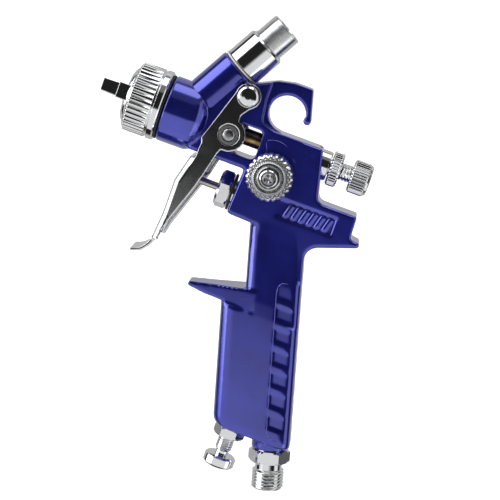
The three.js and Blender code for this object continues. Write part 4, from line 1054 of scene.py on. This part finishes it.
marks = {
    "width": 0.16,
    "block": 8.0,  # half thickness of the casting behind the arc
    "grip": 9.2,  # and behind the outline of the grip
    "arcPoints": 9,
    "gripPoints": 11,
    "gripStep": 5.3,
    "lean": 0.283,  # how far the grip runs back for its drop
}


def bead(path, half, side):  # a thin raised line through (x, z) points on one side of the casting
    pieces = []
    for (x0, z0), (x1, z1) in zip(path, path[1:]):
        way = Vector((x1 - x0, 0, z1 - z0))
        profile = [(0, -0.05), (marks["width"], 0), (marks["width"], way.length), (0, way.length + 0.05)]
        pieces.append(turned("line", profile, (x0, side * half, z0), way, 10, 0))
    return pieces


def castMarks():
    count = marks["arcPoints"]
    arc = [(-3.5 + 0.94 * k, -11.6 + 0.055 * k * (count - k)) for k in range(count)]
    pieces = bead(arc, marks["block"], -1) + bead([(-3.7, -12.6), (-2.4, -15.6)], marks["block"], -1)
    pieces += bead([(8.2, -15.2), (9.2, -15.9)], marks["block"], -1)
    drops = [marks["gripStep"] * k for k in range(marks["gripPoints"])]
    edge = [(19.8 + marks["lean"] * drop, -66 - drop) for drop in drops]
    corner = [(35.9, -120.6), (37.6, -121.7), (40, -122.1)]
    for side in (-1, 1):
        pieces += bead([(22.8, -61.2), (20.6, -61.8), (19.6, -63.4), *edge, *corner], marks["grip"], side)
    standsFor(joined("castMarks", *pieces), "gun_body")


# each seal: inner and outer radius, start and end on its line
seals = {"head": (11.9, 12.9, -46, -45.4), "cup": (6.3, 8.55, 27.8, 28.5)}

makeCapRing()
makeAirCap()
castMarks()
ringOf("headGasket", "head_gasket", *seals["head"], needleLine, along)
ringOf("cupSeal", "cup_seal", *seals["cup"], cupLine, cupAxis)
makeAdapter()
makeInlet()
stage("front, cup and inlet fittings made")
makeTrigger()
makeBar()
makePivot()
makeNeedle()
makeValve()
stage("trigger group made")
makeDial()
makeFluidControl()
makeRegulator()
stage("controls made")


studio = {
    "floorDrop": 0.3,  # under the gun
    "floorSize": 9.0,
    "curve": 1.0,  # radius where the floor turns up into the backdrop
    "curveSteps": 12,
    "white": 1.0,
    "dark": 0.02,
}


def floorAndBackdrop():
    level = cadLow.z - studio["floorDrop"]
    half, r, steps = studio["floorSize"] / 2, studio["curve"], studio["curveSteps"]
    line = [(-half, level), (half * 0.5, level)]
    for k in range(1, steps + 1):
        a = math.pi / 2 * k / steps
        line.append((half * 0.5 + r * math.sin(a), level + r * (1 - math.cos(a))))
    line.append((half * 0.5 + r, level + half))
    shell = bmesh.new()
    last = None
    for y, z in line:
        pair = [shell.verts.new((x, y, z)) for x in (-half, half)]
        if last:
            shell.faces.new((last[0], last[1], pair[1], pair[0]))
        last = pair
    mesh = bpy.data.meshes.new("floorSweep")
    shell.to_mesh(mesh)
    shell.free()
    floor = newObject("floorSweep", mesh)
    floor.data.materials.append(paleFloor())
    floor.data.shade_smooth()
    floor.visible_glossy = False


# each soft box in degrees: centre round from the front (left is minus), half width,
# height above the level, half height; then its strength and the softness of its edges
softBoxes = [
    (-73, 25, 14, 40, 3.0, 4),
    (76, 17, 0, 50, 1.0, 6),
    (0, 180, 90, 17, 2.4, 4),
    (0, 180, 60, 14, 0.2, 5),
    (0, 80, -51, 40, 0.95, 4),
    (180, 60, 0, 60, 0.6, 7),
]


def softLight():
    world = bpy.data.worlds.new("studioLight")
    world.use_nodes = True
    scene.world = world
    g = Graph(world.node_tree)
    way = g.node("ShaderNodeTexCoord", output="Generated")
    split = g.node("ShaderNodeSeparateXYZ", None, {"Vector": way})
    x, y, z = (Wire(g, s) for s in split.socket.node.outputs)
    bearing = x.sum("ARCTAN2", x, y * -1) * (180 / math.pi)
    rise = z.sum("ARCSINE", z) * (180 / math.pi)
    light = studio["dark"]
    for centre, width, height, tall, strength, soft in softBoxes:
        gap = abs(bearing - centre)
        gap = gap.least(360 - gap)
        across = 1 - gap.smooth(width - soft, width + soft)
        upright = 1 - abs(rise - height).smooth(tall - soft, tall + soft)
        light = across * upright * strength + light
    camera = g.node("ShaderNodeLightPath", output="Is Camera Ray")
    light = camera * studio["white"] + (1 - camera) * light
    back = g.node("ShaderNodeBackground", None, {"Strength": light})
    g.node("ShaderNodeOutputWorld", None, {"Surface": back})


view = {
    "target": (0.00429, 0, -0.05527),
    "away": (0.0189, -0.985, 0.1601),  # from the target to the camera
    "distance": 0.705,
    "roll": 20,
    "lens": 129.6,
    "sensor": 36,
}


def frontCamera():
    away = Vector(view["away"]).normalized()
    roll = math.radians(view["roll"])
    right = (-away).cross(up).normalized()
    top = right.cross(-away).normalized()
    x = right * math.cos(roll) + top * math.sin(roll)
    y = top * math.cos(roll) - right * math.sin(roll)
    data = bpy.data.cameras.new("camera")
    data.lens = view["lens"]
    data.sensor_width = view["sensor"]
    camera = bpy.data.objects.new("camera", data)
    scene.collection.objects.link(camera)
    place = Vector(view["target"]) + away * view["distance"]
    turn = Matrix((x, y, away)).transposed().to_quaternion()
    camera.matrix_world = Matrix.LocRotScale(place, turn, None)
    scene.camera = camera


floorAndBackdrop()
softLight()
frontCamera()
scene.view_settings.view_transform = "Standard"

for name, node in frame["nodes"].items():  # the CAD nodes that stay shown
    if not node.hide_render:
        node.data.materials.clear()
        node.data.materials.append(finishes[slotOf[name]])

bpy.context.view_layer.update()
stage("ready")
